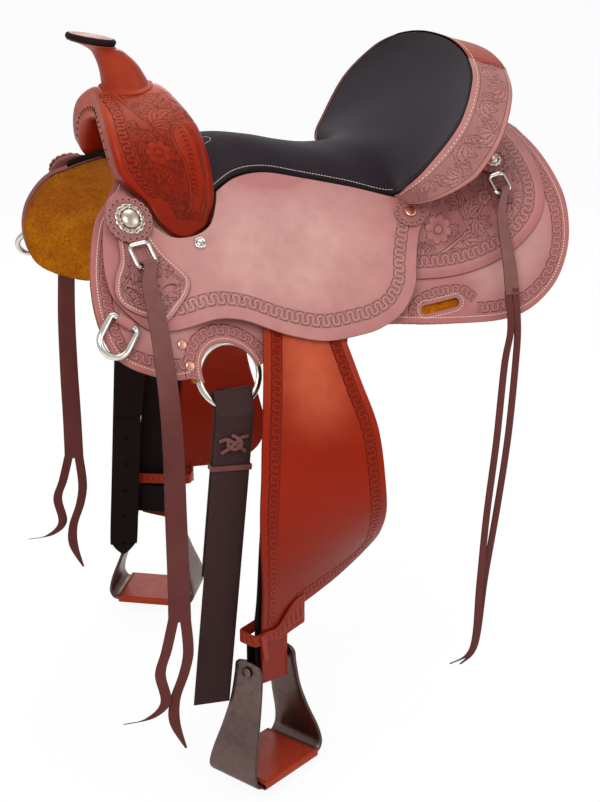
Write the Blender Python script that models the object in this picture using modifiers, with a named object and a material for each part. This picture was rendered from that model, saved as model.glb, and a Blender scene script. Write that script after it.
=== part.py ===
"""Western trail saddle with rough seat, round skirts, in-skirt rigging and wide-tread stirrups.

Frame: metres, +Z up, pommel toward -X, near (left) side toward -Y. The origin is on the centre line where
the saddle lies on the horse's back. Flat leather pieces are drawn as patterns (x along the horse, s down its
side, measured from the centre line) and then laid in layers on one curved back form.
"""
import math

import bmesh
import bpy
from mathutils import Matrix, Vector

# Main sizes, metres
SKIRT_LENGTH = 0.672
SKIRT_DEPTH = 0.337
BACK_RADIUS = 0.369
BACK_ROCKER = 0.55
FLEECE = 0.012
LEATHER = 0.004
BAR_THICKNESS = 0.0126
GAP = 0.0006
HANG_GAP = 0.004
RING_GAP = 0.0024

# Seat and cantle
SEAT_PAD = 0.011
GROUND_SEAT = 0.003
CANTLE_WIDTH = 0.396
CANTLE_TOP = 0.188
CANTLE_LEAN = 0.70
CANTLE_ROLL = 0.058
CANTLE_BOARD = 0.009

# Fork and horn
FORK_TOP = 0.146
FORK_WIDTH = 0.331
HORN_CAP_DIAMETER = 0.0656
HORN_CAP_THICKNESS = 0.008
HORN_BORE_RADIUS = 0.0125

# Rigging
RING_OUTER = 0.090
RING_BAND = 0.008
RING_THICKNESS = 0.005
DEE_WIRE = 0.0085
DEE_WIDTH = 0.047
DEE_LENGTH = 0.057
LATIGO_WIDTH = 0.051
LATIGO_THICKNESS = 0.0026
LATIGO_LENGTH = 0.410
LATIGO_LEAN = math.radians(5.5)
BILLET_WIDTH = 0.044
BILLET_LENGTH = 0.395
BILLET_LEAN = math.radians(3.5)

# Rosettes, conchos, loops and saddle strings
FRONT_ROSETTE = 0.064
REAR_ROSETTE = 0.044
SIDE_ROSETTE = 0.043
FRONT_CONCHO = 0.042
REAR_CONCHO = 0.026
SIDE_CONCHO = 0.016
LOOP_WIRE = 0.0060
STRING_THICKNESS = 0.0024

# Fender, stirrup leather and stirrup
FENDER_THICKNESS = 0.0036
STIRRUP_LEATHER = 0.0034
STIRRUP_LEATHER_WIDTH = 0.058
STIRRUP_TURN = math.radians(30.0)
STIRRUP_TREAD_WIDTH = 0.136
STIRRUP_TREAD_DEPTH = 0.085
STIRRUP_HEIGHT = 0.165
STIRRUP_PLATE = 0.0045
BOLT_RADIUS = 0.004

NEAR = -1
OFF = 1
SIDES = ((NEAR, "near"), (OFF, "off"))

# Pattern grid: the curved form is made of flat facets along these lines, so that layers stay parallel
LENGTH_SCALE = SKIRT_LENGTH / 0.672
DEPTH_SCALE = SKIRT_DEPTH / 0.337
X_STEP = 0.06
S_STEP = 0.045
SPINE_FLAT = 0.04
SPINE_DROP = 0.005
SPINE_ANGLE = math.radians(25.0)

# Heights of the layers above the horse
SKIRT_LIFT = FLEECE + GAP
SKIRT_TOP = SKIRT_LIFT + LEATHER
HANG_LIFT = SKIRT_TOP + HANG_GAP
FENDER_LIFT = HANG_LIFT + STIRRUP_LEATHER + GAP
BAR_LIFT = SKIRT_TOP + GAP
BAR_TOP = BAR_LIFT + BAR_THICKNESS
TAB_THICKNESS = 0.0030
JOCKEY_FRONT = SKIRT_TOP + TAB_THICKNESS + 2 * GAP
JOCKEY_MAIN = FENDER_LIFT + FENDER_THICKNESS + 0.005
JOCKEY_TOP = max(BAR_TOP + LEATHER + 5 * GAP, JOCKEY_MAIN)


# Form of the horse's back

def back_section():
    """Corners (y, z) of half the cross-section and the mitred lifting direction at each corner."""
    points = [Vector((0.0, 0.0)), Vector((SPINE_FLAT * DEPTH_SCALE, -SPINE_DROP))]
    step = S_STEP * DEPTH_SCALE
    angle = SPINE_ANGLE + step / 2 / BACK_RADIUS
    while angle < math.radians(88.0):
        points.append(points[-1] + step * Vector((math.cos(angle), -math.sin(angle))))
        angle += step / BACK_RADIUS
    points.append(points[-1] + Vector((0.0, -1.5)))
    mitres = []
    for i in range(len(points)):
        before = points[i] - points[i - 1] if i else Vector((points[1].x, -points[1].y))
        after = points[i + 1] - points[i] if i + 1 < len(points) else before
        n1 = Vector((-before.y, before.x)).normalized()
        n2 = Vector((-after.y, after.x)).normalized()
        mitres.append((n1 + n2) / (1 + n1.dot(n2)))
    return points, mitres


SECTION, MITRES = back_section()
S_LINES = [0.0] + [SPINE_FLAT + S_STEP * k for k in range(len(SECTION) - 2)]
X_LINES = [X_STEP * k for k in range(-6, 7)]


def rocker(x):
    """Height of the centre line, straight between the grid lines."""
    step = X_STEP * LENGTH_SCALE
    k = math.floor(x / step)
    t = x / step - k
    low = BACK_ROCKER * (k * step) ** 2
    high = BACK_ROCKER * ((k + 1) * step) ** 2
    return low + (high - low) * t


def on_back(x, s, lift, side):
    """Point of the pattern (x, s) laid at a height above the horse on one side."""
    last = len(S_LINES) - 1
    k = last
    while k and s < S_LINES[k]:
        k -= 1
    if k == last:
        base = SECTION[k] + lift * MITRES[k]
        y = base.x
        z = base.y - (s - S_LINES[k]) * DEPTH_SCALE
    else:
        t = (s - S_LINES[k]) / (S_LINES[k + 1] - S_LINES[k])
        a = SECTION[k] + lift * MITRES[k]
        b = SECTION[k + 1] + lift * MITRES[k + 1]
        y, z = a.lerp(b, t)
    return Vector((x * LENGTH_SCALE, side * y, z + rocker(x * LENGTH_SCALE)))


def section_height(y, lift):
    """Height of a layer above the origin's level at a distance y from the centre line."""
    corners = [p + lift * m for p, m in zip(SECTION, MITRES)]
    for a, b in zip(corners, corners[1:]):
        if y <= b.x:
            return a.y + (b.y - a.y) * (y - a.x) / (b.x - a.x)
    return corners[-2].y


def ramp(value, low, high):
    """0 below low, 1 above high, straight between."""
    return min(1.0, max(0.0, (value - low) / (high - low)))


def over_bars(x, s):
    """1 where the tree bar lies underneath, falling to 0 one grid line outside it."""
    return (1 - ramp(s, 0.13, 0.175)) * (1 - ramp(x, 0.24, 0.30))


def skirt_lift(x, s):
    return SKIRT_LIFT


def rear_jockey_lift(x, s):
    return BAR_LIFT + (BAR_THICKNESS + GAP) * over_bars(x, s)


def seat_jockey_lift(x, s):
    """Low at the front, where it lies on the skirt, and high where the fender hangs through."""
    back = ramp(x, -0.24, -0.18)
    base = JOCKEY_FRONT + (JOCKEY_MAIN - JOCKEY_FRONT) * back
    top = BAR_TOP + GAP + (JOCKEY_TOP - BAR_TOP - GAP) * back
    return base + max(0.0, top - base) * over_bars(x, s)


def ear_lift(x, s):
    return seat_jockey_lift(x, s) + LEATHER + GAP


def ear_top(x, s):
    return ear_lift(x, s) + LEATHER


def rear_jockey_top(x, s):
    return rear_jockey_lift(x, s) + LEATHER


def seat_jockey_top(x, s):
    return seat_jockey_lift(x, s) + LEATHER


def skirt_top(x, s):
    return SKIRT_TOP


def surface_frame(x, s, lift, side):
    """Frame on the laid pattern: X along the horse (rear on the off side), Y down the side, Z outward."""
    here = on_back(x, s, lift(x, s), side)
    along = on_back(x + 0.02, s, lift(x, s), side) - on_back(x - 0.02, s, lift(x, s), side)
    down = on_back(x, s + 0.02, lift(x, s), side) - on_back(x, s - 0.02, lift(x, s), side)
    out = along.cross(down) * side
    out.normalize()
    down = (down - out * down.dot(out)).normalized()
    m = Matrix((down.cross(out), down, out)).transposed().to_4x4()
    m.translation = here
    return m


def rest_on(x, s, radius, lift, side, clearance=GAP):
    """Surface frame raised until a flat piece of this radius clears the layer below it."""
    frame = surface_frame(x, s, lift, side)
    inverse = frame.inverted()
    height = 0.0
    for ring in (0.35, 0.7, 1.0):
        for k in range(16):
            a = math.tau * k / 16
            px = x + ring * radius * math.cos(a)
            ps = max(0.0, s + ring * radius * math.sin(a))
            height = max(height, (inverse @ on_back(px, ps, lift(px, ps), side)).z)
    return frame @ Matrix.Translation((0, 0, height + clearance))


# Mesh helpers

def material(name, colour, roughness, metallic=0.0):
    m = bpy.data.materials.new(name)
    m.use_nodes = True
    shader = m.node_tree.nodes["Principled BSDF"]
    shader.inputs["Base Color"].default_value = (*colour, 1.0)
    shader.inputs["Roughness"].default_value = roughness
    shader.inputs["Metallic"].default_value = metallic
    m.diffuse_color = (*colour, 1.0)
    m.roughness = roughness
    m.metallic = metallic
    return m


def add(name, bm, look, smooth=False, where=None, cutter=False):
    """Puts a finished bmesh into the scene as one named object."""
    mesh = bpy.data.meshes.new(name)
    for face in bm.faces:
        face.smooth = smooth
    bm.to_mesh(mesh)
    bm.free()
    obj = bpy.data.objects.new(name, mesh)
    if where is not None:
        obj.matrix_world = where
    if cutter:
        CUTTERS.objects.link(obj)
        obj.hide_render = True
        obj.display_type = "WIRE"
    else:
        SADDLE.objects.link(obj)
        mesh.materials.append(look)
    return obj


def rounded(points, corners=(), steps=2, closed=True):
    """Smooth curve through the points (millimetres); the listed points stay sharp corners."""
    pts = [Vector(p) / 1000 for p in points]
    n = len(pts)
    out = []
    for i in range(n if closed else n - 1):
        p1 = pts[i]
        p2 = pts[(i + 1) % n]
        p0 = pts[i - 1] if closed or i else p1
        p3 = pts[(i + 2) % n] if closed or i + 2 < n else p2
        if i in corners:
            p0 = p1
        if (i + 1) % n in corners:
            p3 = p2
        for k in range(steps):
            t = k / steps
            out.append(0.5 * (2 * p1 + (p2 - p0) * t + (2 * p0 - 5 * p1 + 4 * p2 - p3) * t * t
                              + (3 * p1 - p0 - 3 * p2 + p3) * t ** 3))
    if not closed:
        out.append(pts[-1])
    return out


def cut_along(bm, x_lines, s_lines):
    """Cuts a flat pattern along lines of the form, where it will bend."""
    for normal, lines in (((1, 0, 0), x_lines), ((0, 1, 0), s_lines)):
        for line in lines:
            parts = bm.verts[:] + bm.edges[:] + bm.faces[:]
            bmesh.ops.bisect_plane(bm, geom=parts, dist=0.0004, plane_co=Vector(normal) * line,
                                   plane_no=normal)


def close_up(bm):
    """Turns every face outward and splits bent faces into flat ones."""
    bmesh.ops.recalc_face_normals(bm, faces=bm.faces[:])
    bmesh.ops.triangulate(bm, faces=bm.faces[:], quad_method="FIXED")
    if bm.calc_volume(signed=True) < 0:
        bmesh.ops.reverse_faces(bm, faces=bm.faces[:])
    return bm


def solidify(obj, thickness, offset=1.0):
    mod = obj.modifiers.new("thickness", "SOLIDIFY")
    mod.thickness = thickness
    mod.offset = offset
    mod.use_even_offset = True
    return obj


def panel(name, outline, lift, thickness, side, look, place=on_back, more_lines=()):
    """Leather piece: cut flat to its outline, given its thickness and then bent over the form."""
    bm = bmesh.new()
    bm.faces.new([bm.verts.new((p[0], p[1], 0)) for p in outline])
    cut_along(bm, X_LINES, S_LINES + list(more_lines))
    bmesh.ops.solidify(bm, geom=bm.faces[:], thickness=thickness)
    for v in bm.verts:
        x, s, height = v.co
        v.co = place(x, s, lift(x, s) + abs(height), side)
    return add(name, close_up(bm), look, smooth=False)


def loft(bm, rings, closed_ends=True):
    """Skin over rings with the same number of points."""
    verts = [[bm.verts.new(p) for p in ring] for ring in rings]
    n = len(rings[0])
    for a, b in zip(verts, verts[1:]):
        for k in range(n):
            bm.faces.new((a[k], a[(k + 1) % n], b[(k + 1) % n], b[k]))
    if closed_ends:
        bm.faces.new(verts[0][::-1])
        bm.faces.new(verts[-1])
    return close_up(bm)


def block(top, bottom):
    """Closed body between two grids of points, with its facets mirrored about the centre line."""
    bm = bmesh.new()
    rows = len(top)
    cols = len(top[0])
    up = [[bm.verts.new(p) for p in row] for row in top]
    low = [[bm.verts.new(p) for p in row] for row in bottom]
    for i in range(rows - 1):
        for j in range(cols - 1):
            for layer in (up, low):
                a, b = layer[i][j], layer[i + 1][j]
                c, d = layer[i + 1][j + 1], layer[i][j + 1]
                if top[i][j].y + top[i][j + 1].y < 0:
                    a, b, c, d = b, c, d, a
                bm.faces.new((a, b, c))
                bm.faces.new((a, c, d))
    edge = [(i, 0) for i in range(rows)] + [(rows - 1, j) for j in range(1, cols)]
    edge += [(i, cols - 1) for i in range(rows - 2, -1, -1)] + [(0, j) for j in range(cols - 2, 0, -1)]
    for (i, j), (k, m) in zip(edge, edge[1:] + edge[:1]):
        bm.faces.new((up[i][j], low[i][j], low[k][m], up[k][m]))
    return close_up(bm)


def boolean(obj, other, operation="DIFFERENCE"):
    mod = obj.modifiers.new(operation.lower(), "BOOLEAN")
    mod.operation = operation
    mod.solver = "EXACT"
    mod.object = other
    return obj


def tube(name, points, radius, look, where, sides=6, cyclic=True):
    """Round wire bent along the points."""
    curve = bpy.data.curves.new(name, "CURVE")
    curve.dimensions = "3D"
    curve.bevel_depth = radius
    curve.bevel_resolution = (sides - 4) // 2
    curve.render_resolution_u = 0
    curve.use_fill_caps = not cyclic
    spline = curve.splines.new("POLY")
    spline.points.add(len(points) - 1)
    for p, co in zip(spline.points, points):
        p.co = (*co, 1.0)
    spline.use_cyclic_u = cyclic
    shape = bpy.data.objects.new(name + "_path", curve)
    CUTTERS.objects.link(shape)
    mesh = bpy.data.meshes.new_from_object(shape)
    bpy.data.objects.remove(shape)
    bpy.data.curves.remove(curve)
    bm = bmesh.new()
    bm.from_mesh(mesh)
    bpy.data.meshes.remove(mesh)
    bmesh.ops.remove_doubles(bm, verts=bm.verts[:], dist=0.00005)
    bmesh.ops.recalc_face_normals(bm, faces=bm.faces[:])
    return add(name, bm, look, smooth=True, where=where)


def turned(name, profile, look, where, steps=24):
    """Body of revolution: profile (radius, height) from the bottom of the axis round to its top."""
    bm = bmesh.new()
    verts = [bm.verts.new((r, 0, z)) for r, z in profile[::-1]]
    for a, b in zip(verts, verts[1:]):
        bm.edges.new((a, b))
    obj = add(name, bm, look, smooth=True, where=where)
    mod = obj.modifiers.new("turn", "SCREW")
    mod.axis = "Z"
    mod.steps = steps
    mod.render_steps = steps
    mod.use_merge_vertices = True
    mod.merge_threshold = 0.00005
    return obj


def ribbon(name, rows, thickness, look, where=None, smooth=False):
    """Strap: an open strip through rows of points, thickened evenly about its middle."""
    bm = bmesh.new()
    verts = [[bm.verts.new(p) for p in row] for row in rows]
    for a, b in zip(verts, verts[1:]):
        for k in range(len(a) - 1):
            bm.faces.new((a[k], a[k + 1], b[k + 1], b[k]))
    return solidify(add(name, bm, look, smooth=smooth, where=where), thickness, 0.0)


# Skirts and fleece

SKIRT_OUTLINE = [
    (-258, 6), (-272, 50), (-299, 106), (-324, 148), (-341, 201), (-348, 242), (-347, 280), (-336, 314),
    (-318, 329), (-290, 335), (-258, 336), (-236, 331)]
SKIRT_REAR_OUTLINE = [
    (-128, 300), (-90, 268), (-40, 260), (46, 266), (107, 278), (146, 286), (195, 296), (229, 298),
    (258, 291), (285, 275), (305, 250), (318, 219), (325, 178), (323, 137), (317, 92), (308, 47), (302, 6)]
RING_PLACE = (-0.183, 0.320)
SLOT_PLACE = (0.118, 0.2575)
SLOT_LENGTH = 0.054
SLOT_HEIGHT = 0.011


def skirt_pattern(inset, arch_radius):
    """Skirt with the round arch that the cinch ring hangs in."""
    front = rounded(SKIRT_OUTLINE, corners=(0,), steps=2, closed=False)
    rear = rounded(SKIRT_REAR_OUTLINE, corners=(16,), steps=2, closed=False)
    centre = Vector(RING_PLACE)
    arch = []
    for k in range(13):
        a = math.radians(202 - 186 * k / 12)
        arch.append(centre + arch_radius * Vector((math.cos(a), -math.sin(a))))
    front = [p for p in front if (p - centre).length > arch_radius + 0.004]
    rear = [p for p in rear if (p - centre).length > arch_radius + 0.004]
    outline = front + arch + rear
    if not inset:
        return outline
    n = len(outline)
    moved = []
    for i, p in enumerate(outline):
        along = (outline[(i + 1) % n] - outline[i - 1]).normalized()
        q = p + inset * Vector((along.y, -along.x))
        moved.append(Vector((q.x, max(q.y, p.y if p.y < 0.01 else 0.006))))
    return moved


def build_skirts():
    ring_inner = RING_OUTER / 2 - RING_BAND
    for side, tag in SIDES:
        skirt = panel(f"skirt_{tag}", skirt_pattern(0.0, ring_inner + 0.001), skirt_lift, LEATHER, side,
                      LOOKS["rose_leather"])
        frame = surface_frame(*SLOT_PLACE, skirt_lift, side)
        ends = (SLOT_LENGTH - SLOT_HEIGHT) / 2
        bm = bmesh.new()
        ring = []
        for centre, start in ((ends, -90), (-ends, 90)):
            for k in range(7):
                a = math.radians(start + 30 * k)
                ring.append((centre + SLOT_HEIGHT / 2 * math.cos(a), SLOT_HEIGHT / 2 * math.sin(a)))
        loft(bm, [[(x, y, z) for x, y in ring] for z in (-0.004, 0.014)])
        cutter = add(f"slot_cutter_{tag}", bm, None, where=frame, cutter=True)
        boolean(skirt, cutter)
        fleece = skirt_pattern(0.004, RING_OUTER / 2 + 0.003)
        panel(f"fleece_{tag}", fleece, lambda x, s: 0.0, FLEECE, side, LOOKS["fleece"])


# Seat surface: stations from the fork to the top of the cantle

SEAT_CENTRE = [(-165, 74), (-120, 76), (-75, 70), (-30, 59), (20, 51), (65, 52), (102, 62), (136, 84),
               (168, 118), (191, 154), (202, 188)]
SEAT_LOW_EDGE = [(-158, 86), (-118, 54), (-75, 43), (-27, 55), (35, 78), (86, 104)]
CANTLE_EDGE = [(0.85, 0.13), (0.945, 0.285), (0.995, 0.56), (0.82, 0.805), (0.58, 0.925)]
SEAT_SCALE = CANTLE_TOP / 0.188


def rim_x(z):
    return 0.202 * LENGTH_SCALE - CANTLE_LEAN * (CANTLE_TOP - z)


def seat_stations():
    stations = []
    for k, (x, z) in enumerate(SEAT_CENTRE):
        rise = z / 1000 if k < 5 else z / 1000 * SEAT_SCALE
        middle = Vector((x / 1000 * LENGTH_SCALE, 0, rise))
        if k < len(SEAT_LOW_EDGE):
            ex, es = SEAT_LOW_EDGE[k]
            lift = seat_jockey_top(ex / 1000, es / 1000) + 0.001
            edge = on_back(ex / 1000, es / 1000, lift, OFF)
        else:
            wide, high = CANTLE_EDGE[k - len(SEAT_LOW_EDGE)]
            z = high * CANTLE_TOP
            edge = Vector((rim_x(z), wide * CANTLE_WIDTH / 2, z))
        stations.append((middle, edge))
    return stations


STATIONS = seat_stations()


def along_stations(which, j):
    """Smooth curve through the station points; j runs from 0 to the last station."""
    k = min(int(j), len(STATIONS) - 2)
    t = j - k
    p = [STATIONS[min(max(k + d, 0), len(STATIONS) - 1)][which] for d in (-1, 0, 1, 2)]
    return 0.5 * (2 * p[1] + (p[2] - p[0]) * t + (2 * p[0] - 5 * p[1] + 4 * p[2] - p[3]) * t * t
                  + (3 * p[1] - p[0] - 3 * p[2] + p[3]) * t ** 3)


def seat_point(i, j):
    """Upper face of the seat; i runs from -1 (near edge) through the crown to 1 (off edge)."""
    middle = along_stations(0, j)
    edge = along_stations(1, j)
    share = abs(i) ** 2.3
    return Vector((middle.x + (edge.x - middle.x) * share, edge.y * i,
                   middle.z + (edge.z - middle.z) * share))


def seat_normal(i, j):
    i = min(max(i, -0.98), 0.98)
    j = min(max(j, 0.02), 9.98)
    across = seat_point(i + 0.02, j) - seat_point(i - 0.02, j)
    along = seat_point(i, j + 0.02) - seat_point(i, j - 0.02)
    return along.cross(across).normalized()


def below_seat(i, j, depth):
    """Point under the seat face; the pad thins toward its sewn edge."""
    return seat_point(i, j) - depth * seat_normal(i, j)


def pad_depth(i, j):
    return SEAT_PAD * (1 - 0.7 * max(abs(i) ** 3, ramp(j, 8.0, 10.0) ** 2))


I_LINES = [0.988 * i for i in (-1, -0.92, -0.72, -0.48, -0.24, 0, 0.24, 0.48, 0.72, 0.92, 1)]
J_LINES = [0, 0.6, 1.25, 2, 2.75, 3.5, 4.25, 5, 5.5, 6, 6.5, 7, 7.5, 8, 8.6, 9.3, 10]


def lattice(i_lines, j_lines, depth):
    """Grid of points at a depth below the seat; every layer uses the same lines, so they stay parallel."""
    return [[below_seat(i, j, depth(i, j)) for i in i_lines] for j in j_lines]


def ground_top(i, j):
    return pad_depth(i, j) + GAP


def ground_low(i, j):
    return ground_top(i, j) + GROUND_SEAT


def build_seat():
    face = lattice(I_LINES, J_LINES, lambda i, j: 0.0015 * ramp(abs(i), 0.9, 0.98))
    add("seat", block(face, lattice(I_LINES, J_LINES, pad_depth)), LOOKS["suede"], smooth=True)
    i_lines = I_LINES[1:-1]
    j_lines = J_LINES[1:-1]
    ground = block(lattice(i_lines, j_lines, ground_top), lattice(i_lines, j_lines, ground_low))
    add("ground_seat", ground, LOOKS["dark_leather"], smooth=True)


# Tree: two bars joined by the fork and the cantle board

FORK = [
    (153, -18, 142, None, -228, -201), (149, -11, 133, None, -240, -189),
    (144, -4, 120, None, -245, -176), (135, 10, 100, None, -252, -166), (129, 30, 88, 22, -272, -161),
    (123, 58, 80, 45, -286, -162), (112, 88, 66, 70, -291, -166), (88, 116, 45, 91, -292, -172),
    (50, 136, 22, 101, -290, -180), (0, 146, 0, 104, -287, -187)]


def fork_station(row):
    """Outer and inner point (y, z) and front and rear limit of one section; None rests on the skirt."""
    oy, oz, iy, iz, front, rear = row
    wide = FORK_WIDTH / 0.331
    high = FORK_TOP / 0.146
    x0 = front / 1000 * LENGTH_SCALE
    x1 = rear / 1000 * LENGTH_SCALE
    outer = Vector((oy * wide, oz * high if oz > 0 else oz)) / 1000
    inner = Vector((iy * wide, (iz or 0) * high)) / 1000
    if iz is None:
        inner.y = section_height(inner.x, SKIRT_TOP + 2 * GAP) + rocker((x0 + x1) / 2)
    return outer, inner, x0, x1


def fork_foot(front):
    """Foot of the wooden fork, sunk to the middle of the bars."""
    outer, inner, x0, x1 = fork_station((118, 0, 95, None, front, -184))
    for p in (outer, inner):
        p.y = section_height(p.x, BAR_LIFT + BAR_THICKNESS / 2) + rocker((x0 + x1) / 2)
    return outer, inner, x0, x1


def fork_ring(station, inset, side):
    """Rounded section across the fork, from its outer face to the gullet face."""
    outer, inner, front, rear = station
    x0 = front + inset
    x1 = rear - inset
    follow = 1 - ramp(outer.y, 0, 0.06)
    span = outer - inner
    up = span.normalized()
    half = span.length - 2 * inset
    corner = min(0.018, half * 0.45, (x1 - x0) * 0.4)
    small = corner * 0.45
    base = inner + inset * up
    ring = []
    for cx, cz, r, start in ((x0 + small, half - small, small, 180), (x1 - corner, half - corner, corner, 90),
                             (x1 - small, small, small, 0), (x0 + small, small, small, -90)):
        for k in range(3):
            a = math.radians(start - 45 * k)
            x = cx + r * math.cos(a)
            p = base + up * (cz + r * math.sin(a))
            lean = follow * (rocker(x) - rocker((x0 + x1) / 2))
            ring.append(Vector((x, side * p.x, p.y + lean)))
    return ring


def fork_body(first, inset, foot=None):
    half = ([foot] if foot else []) + [fork_station(row) for row in FORK[first:]]
    rings = [fork_ring(s, inset, NEAR) for s in half]
    rings += [fork_ring(s, inset, OFF) for s in half[-2::-1]]
    return loft(bmesh.new(), rings)


NECK_BASE = Vector((-0.2450, 0, 0.118))
NECK_TOP = Vector((-0.2670, 0, 0.187))


def neck(radius, low=0.0, high=0.0):
    """Straight round bar along the leaning horn."""
    axis = (NECK_TOP - NECK_BASE).normalized()
    rise = FORK_TOP - 0.146
    side = Vector((0, 1, 0))
    other = axis.cross(side)
    rings = []
    for p in (NECK_BASE - low * axis, NECK_TOP + high * axis):
        centre = p + Vector((0, 0, rise))
        rings.append([centre + radius * (side * math.cos(a) + other * math.sin(a))
                      for a in (math.tau * k / 20 for k in range(20))])
    return loft(bmesh.new(), rings)


BAR_OUTLINE = [(-234, 48), (-222, 35), (0, 31), (222, 35), (234, 48), (235, 100), (224, 122), (150, 127),
               (0, 125), (-150, 127), (-224, 122), (-235, 100)]


def to_cutter(obj):
    """Moves a piece from the saddle to the cutters."""
    SADDLE.objects.unlink(obj)
    CUTTERS.objects.link(obj)
    obj.hide_render = True
    obj.display_type = "WIRE"
    return obj


def cutter_of(name, bm):
    return add(name, bm, None, cutter=True)


def build_tree():
    deep = 2 * GAP
    board = block(lattice(I_LINES[3:8], J_LINES[7:15], lambda i, j: ground_low(i, j) + deep),
                  lattice(I_LINES[3:8], J_LINES[7:15], lambda i, j: ground_low(i, j) + deep + CANTLE_BOARD))
    tree = add("tree", board, LOOKS["wood"])
    for side, tag in SIDES:
        bar = panel(f"bar_{tag}", rounded(BAR_OUTLINE), lambda x, s: BAR_LIFT, BAR_THICKNESS, side,
                    LOOKS["wood"])
        boolean(tree, to_cutter(bar), "UNION")
    boolean(tree, cutter_of("fork_core", fork_body(4, LEATHER + 3 * GAP, fork_foot(-227))), "UNION")
    boolean(tree, cutter_of("neck_core", neck(HORN_BORE_RADIUS - GAP, low=0.003)), "UNION")
    room = block(lattice(I_LINES[1:-1], J_LINES[0:9], lambda i, j: -0.02),
                 lattice(I_LINES[1:-1], J_LINES[0:9], lambda i, j: ground_low(i, j) + GAP))
    boolean(tree, cutter_of("seat_room", room))


def build_fork_cover():
    cover = add("fork_cover", fork_body(0, 0.0), LOOKS["orange_leather"], smooth=False)
    for side, tag in SIDES:
        outline = [Vector(p) / 1000 for p in ((-241, 27), (-90, 27), (-90, 129), (-241, 129))]
        room = panel(f"bar_room_{tag}", outline, lambda x, s: -0.01, BAR_TOP + GAP + 0.01, side, None)
        boolean(cover, to_cutter(room))
    boolean(cover, cutter_of("fork_room", fork_body(4, LEATHER + GAP, fork_foot(-238))))
    boolean(cover, cutter_of("neck_room", neck(HORN_BORE_RADIUS)))


def disc_ring(centre, radius, tilt, count=20):
    across = Vector((math.cos(tilt), 0, -math.sin(tilt)))
    return [centre + radius * (across * math.cos(a) + Vector((0, 1, 0)) * math.sin(a))
            for a in (math.tau * k / count for k in range(count))]


HORN_TILT = math.radians(10.8)
CAP_CENTRE = Vector((-0.2870, 0, 0.2040))
HORN_RINGS = [
    (-242.5, 147.5, 34.0, 0), (-242.5, 149.0, 35.0, 0), (-242.5, 152.5, 35.0, 0), (-243, 154.5, 33.0, 0),
    (-244, 155.5, 30.0, 0), (-253, 171.0, 23.5, -8), (-264, 186.0, 18.0, -6), (-271, 193.5, 18.5, 4),
    (-280, 199.0, 26.0, 10.8), (-285.2, 202.0, 31.0, 10.8), (-286.4, 203.2, 31.3, 10.8)]


def build_horn():
    rise = Vector((0, 0, FORK_TOP - 0.146))
    wide = HORN_CAP_DIAMETER / 0.0656
    rings = []
    for k, (x, z, r, tilt) in enumerate(HORN_RINGS):
        size = r / 1000 * (wide if k > 7 else 1)
        rings.append(disc_ring(Vector((x, 0, z)) / 1000 + rise, size, math.radians(tilt)))
    wrap = add("horn_wrap", loft(bmesh.new(), rings), LOOKS["orange_leather"], smooth=False)
    boolean(wrap, cutter_of("horn_bore", neck(HORN_BORE_RADIUS, high=0.002)))
    up = Vector((math.sin(HORN_TILT), 0, math.cos(HORN_TILT)))
    r = HORN_CAP_DIAMETER / 2
    low = CAP_CENTRE + rise
    cap = [disc_ring(low + h * up, q, HORN_TILT, 32)
           for h, q in ((0.0, r - 0.0015), (0.0015, r), (HORN_CAP_THICKNESS - 0.0025, r),
                        (HORN_CAP_THICKNESS - 0.0006, r - 0.002), (HORN_CAP_THICKNESS, r - 0.005))]
    add("horn_cap", loft(bmesh.new(), cap), LOOKS["orange_leather"], smooth=False)


# Cantle back with its wide tooled roll

ROLL_SECTION = [(0.0, 0.0), (6, 20), (15, 46), (17, 53), (14, 58), (6, 57.5), (-3, 42)]
ROLL_UNDER = [(-8, 36), (0.0, 10)]
CANTLE_BASE = [(92, 92), (112, 99), (140, 99), (172, 92), (206, 76), (234, 50), (247, 24), (251, 0)]


def rim_point(t):
    """Edge of the seat dish: t from 0 at the arm end, 5 at the corner of the top row, 6 at the centre."""
    if t <= 5:
        return along_stations(1, 5 + t)
    return seat_point(6 - t, 10)


def base_point(t, inward):
    k = min(int(t * 7 / 6), 6)
    u = t * 7 / 6 - k
    x, s = Vector(CANTLE_BASE[k]).lerp(Vector(CANTLE_BASE[k + 1]), u) / 1000
    lift = BAR_TOP + LEATHER + 5 * GAP
    return on_back(x - inward * 0.6, max(0.0, s - inward), lift, OFF)


def cantle_ring(t, side):
    """Section across the roll and the back wall of the cantle at one place of the rim."""
    eps = 0.05
    a, b = max(0.0, t - eps), min(6.0, t + eps)
    run = rim_point(b) - rim_point(a)
    if t > 5.9:
        run = Vector((0, -1, 0))
    n = Vector((1, 0, -CANTLE_LEAN)).normalized()
    out = run.cross(n).normalized()
    if out.dot(Vector((0.3, 0.6, 0.6))) < 0:
        out = -out
    rim = rim_point(t) + 0.0036 * out
    size = CANTLE_ROLL / 0.058 * (0.16 + 0.84 * ramp(t, 0.0, 2.4) ** 0.8)
    ring = [rim + size / 1000 * (o * out + d * n) for o, d in ROLL_SECTION]
    ring.append(base_point(t, 0.0))
    ring.append(base_point(t, 0.004))
    ring += [rim + size / 1000 * (o * out + d * n) for o, d in ROLL_UNDER]
    return [Vector((p.x, p.y * side, p.z)) for p in ring]


def build_cantle():
    steps = [0.7, 1.25, 1.75, 2.25, 2.75, 3.25, 3.75, 4.25, 4.7, 5.0, 5.35, 5.7, 6.0]
    rings = [cantle_ring(t, NEAR) for t in steps] + [cantle_ring(t, OFF) for t in steps[-2::-1]]
    add("cantle_back", loft(bmesh.new(), rings), LOOKS["rose_leather"], smooth=False)


# Jockeys and ear plates

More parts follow.
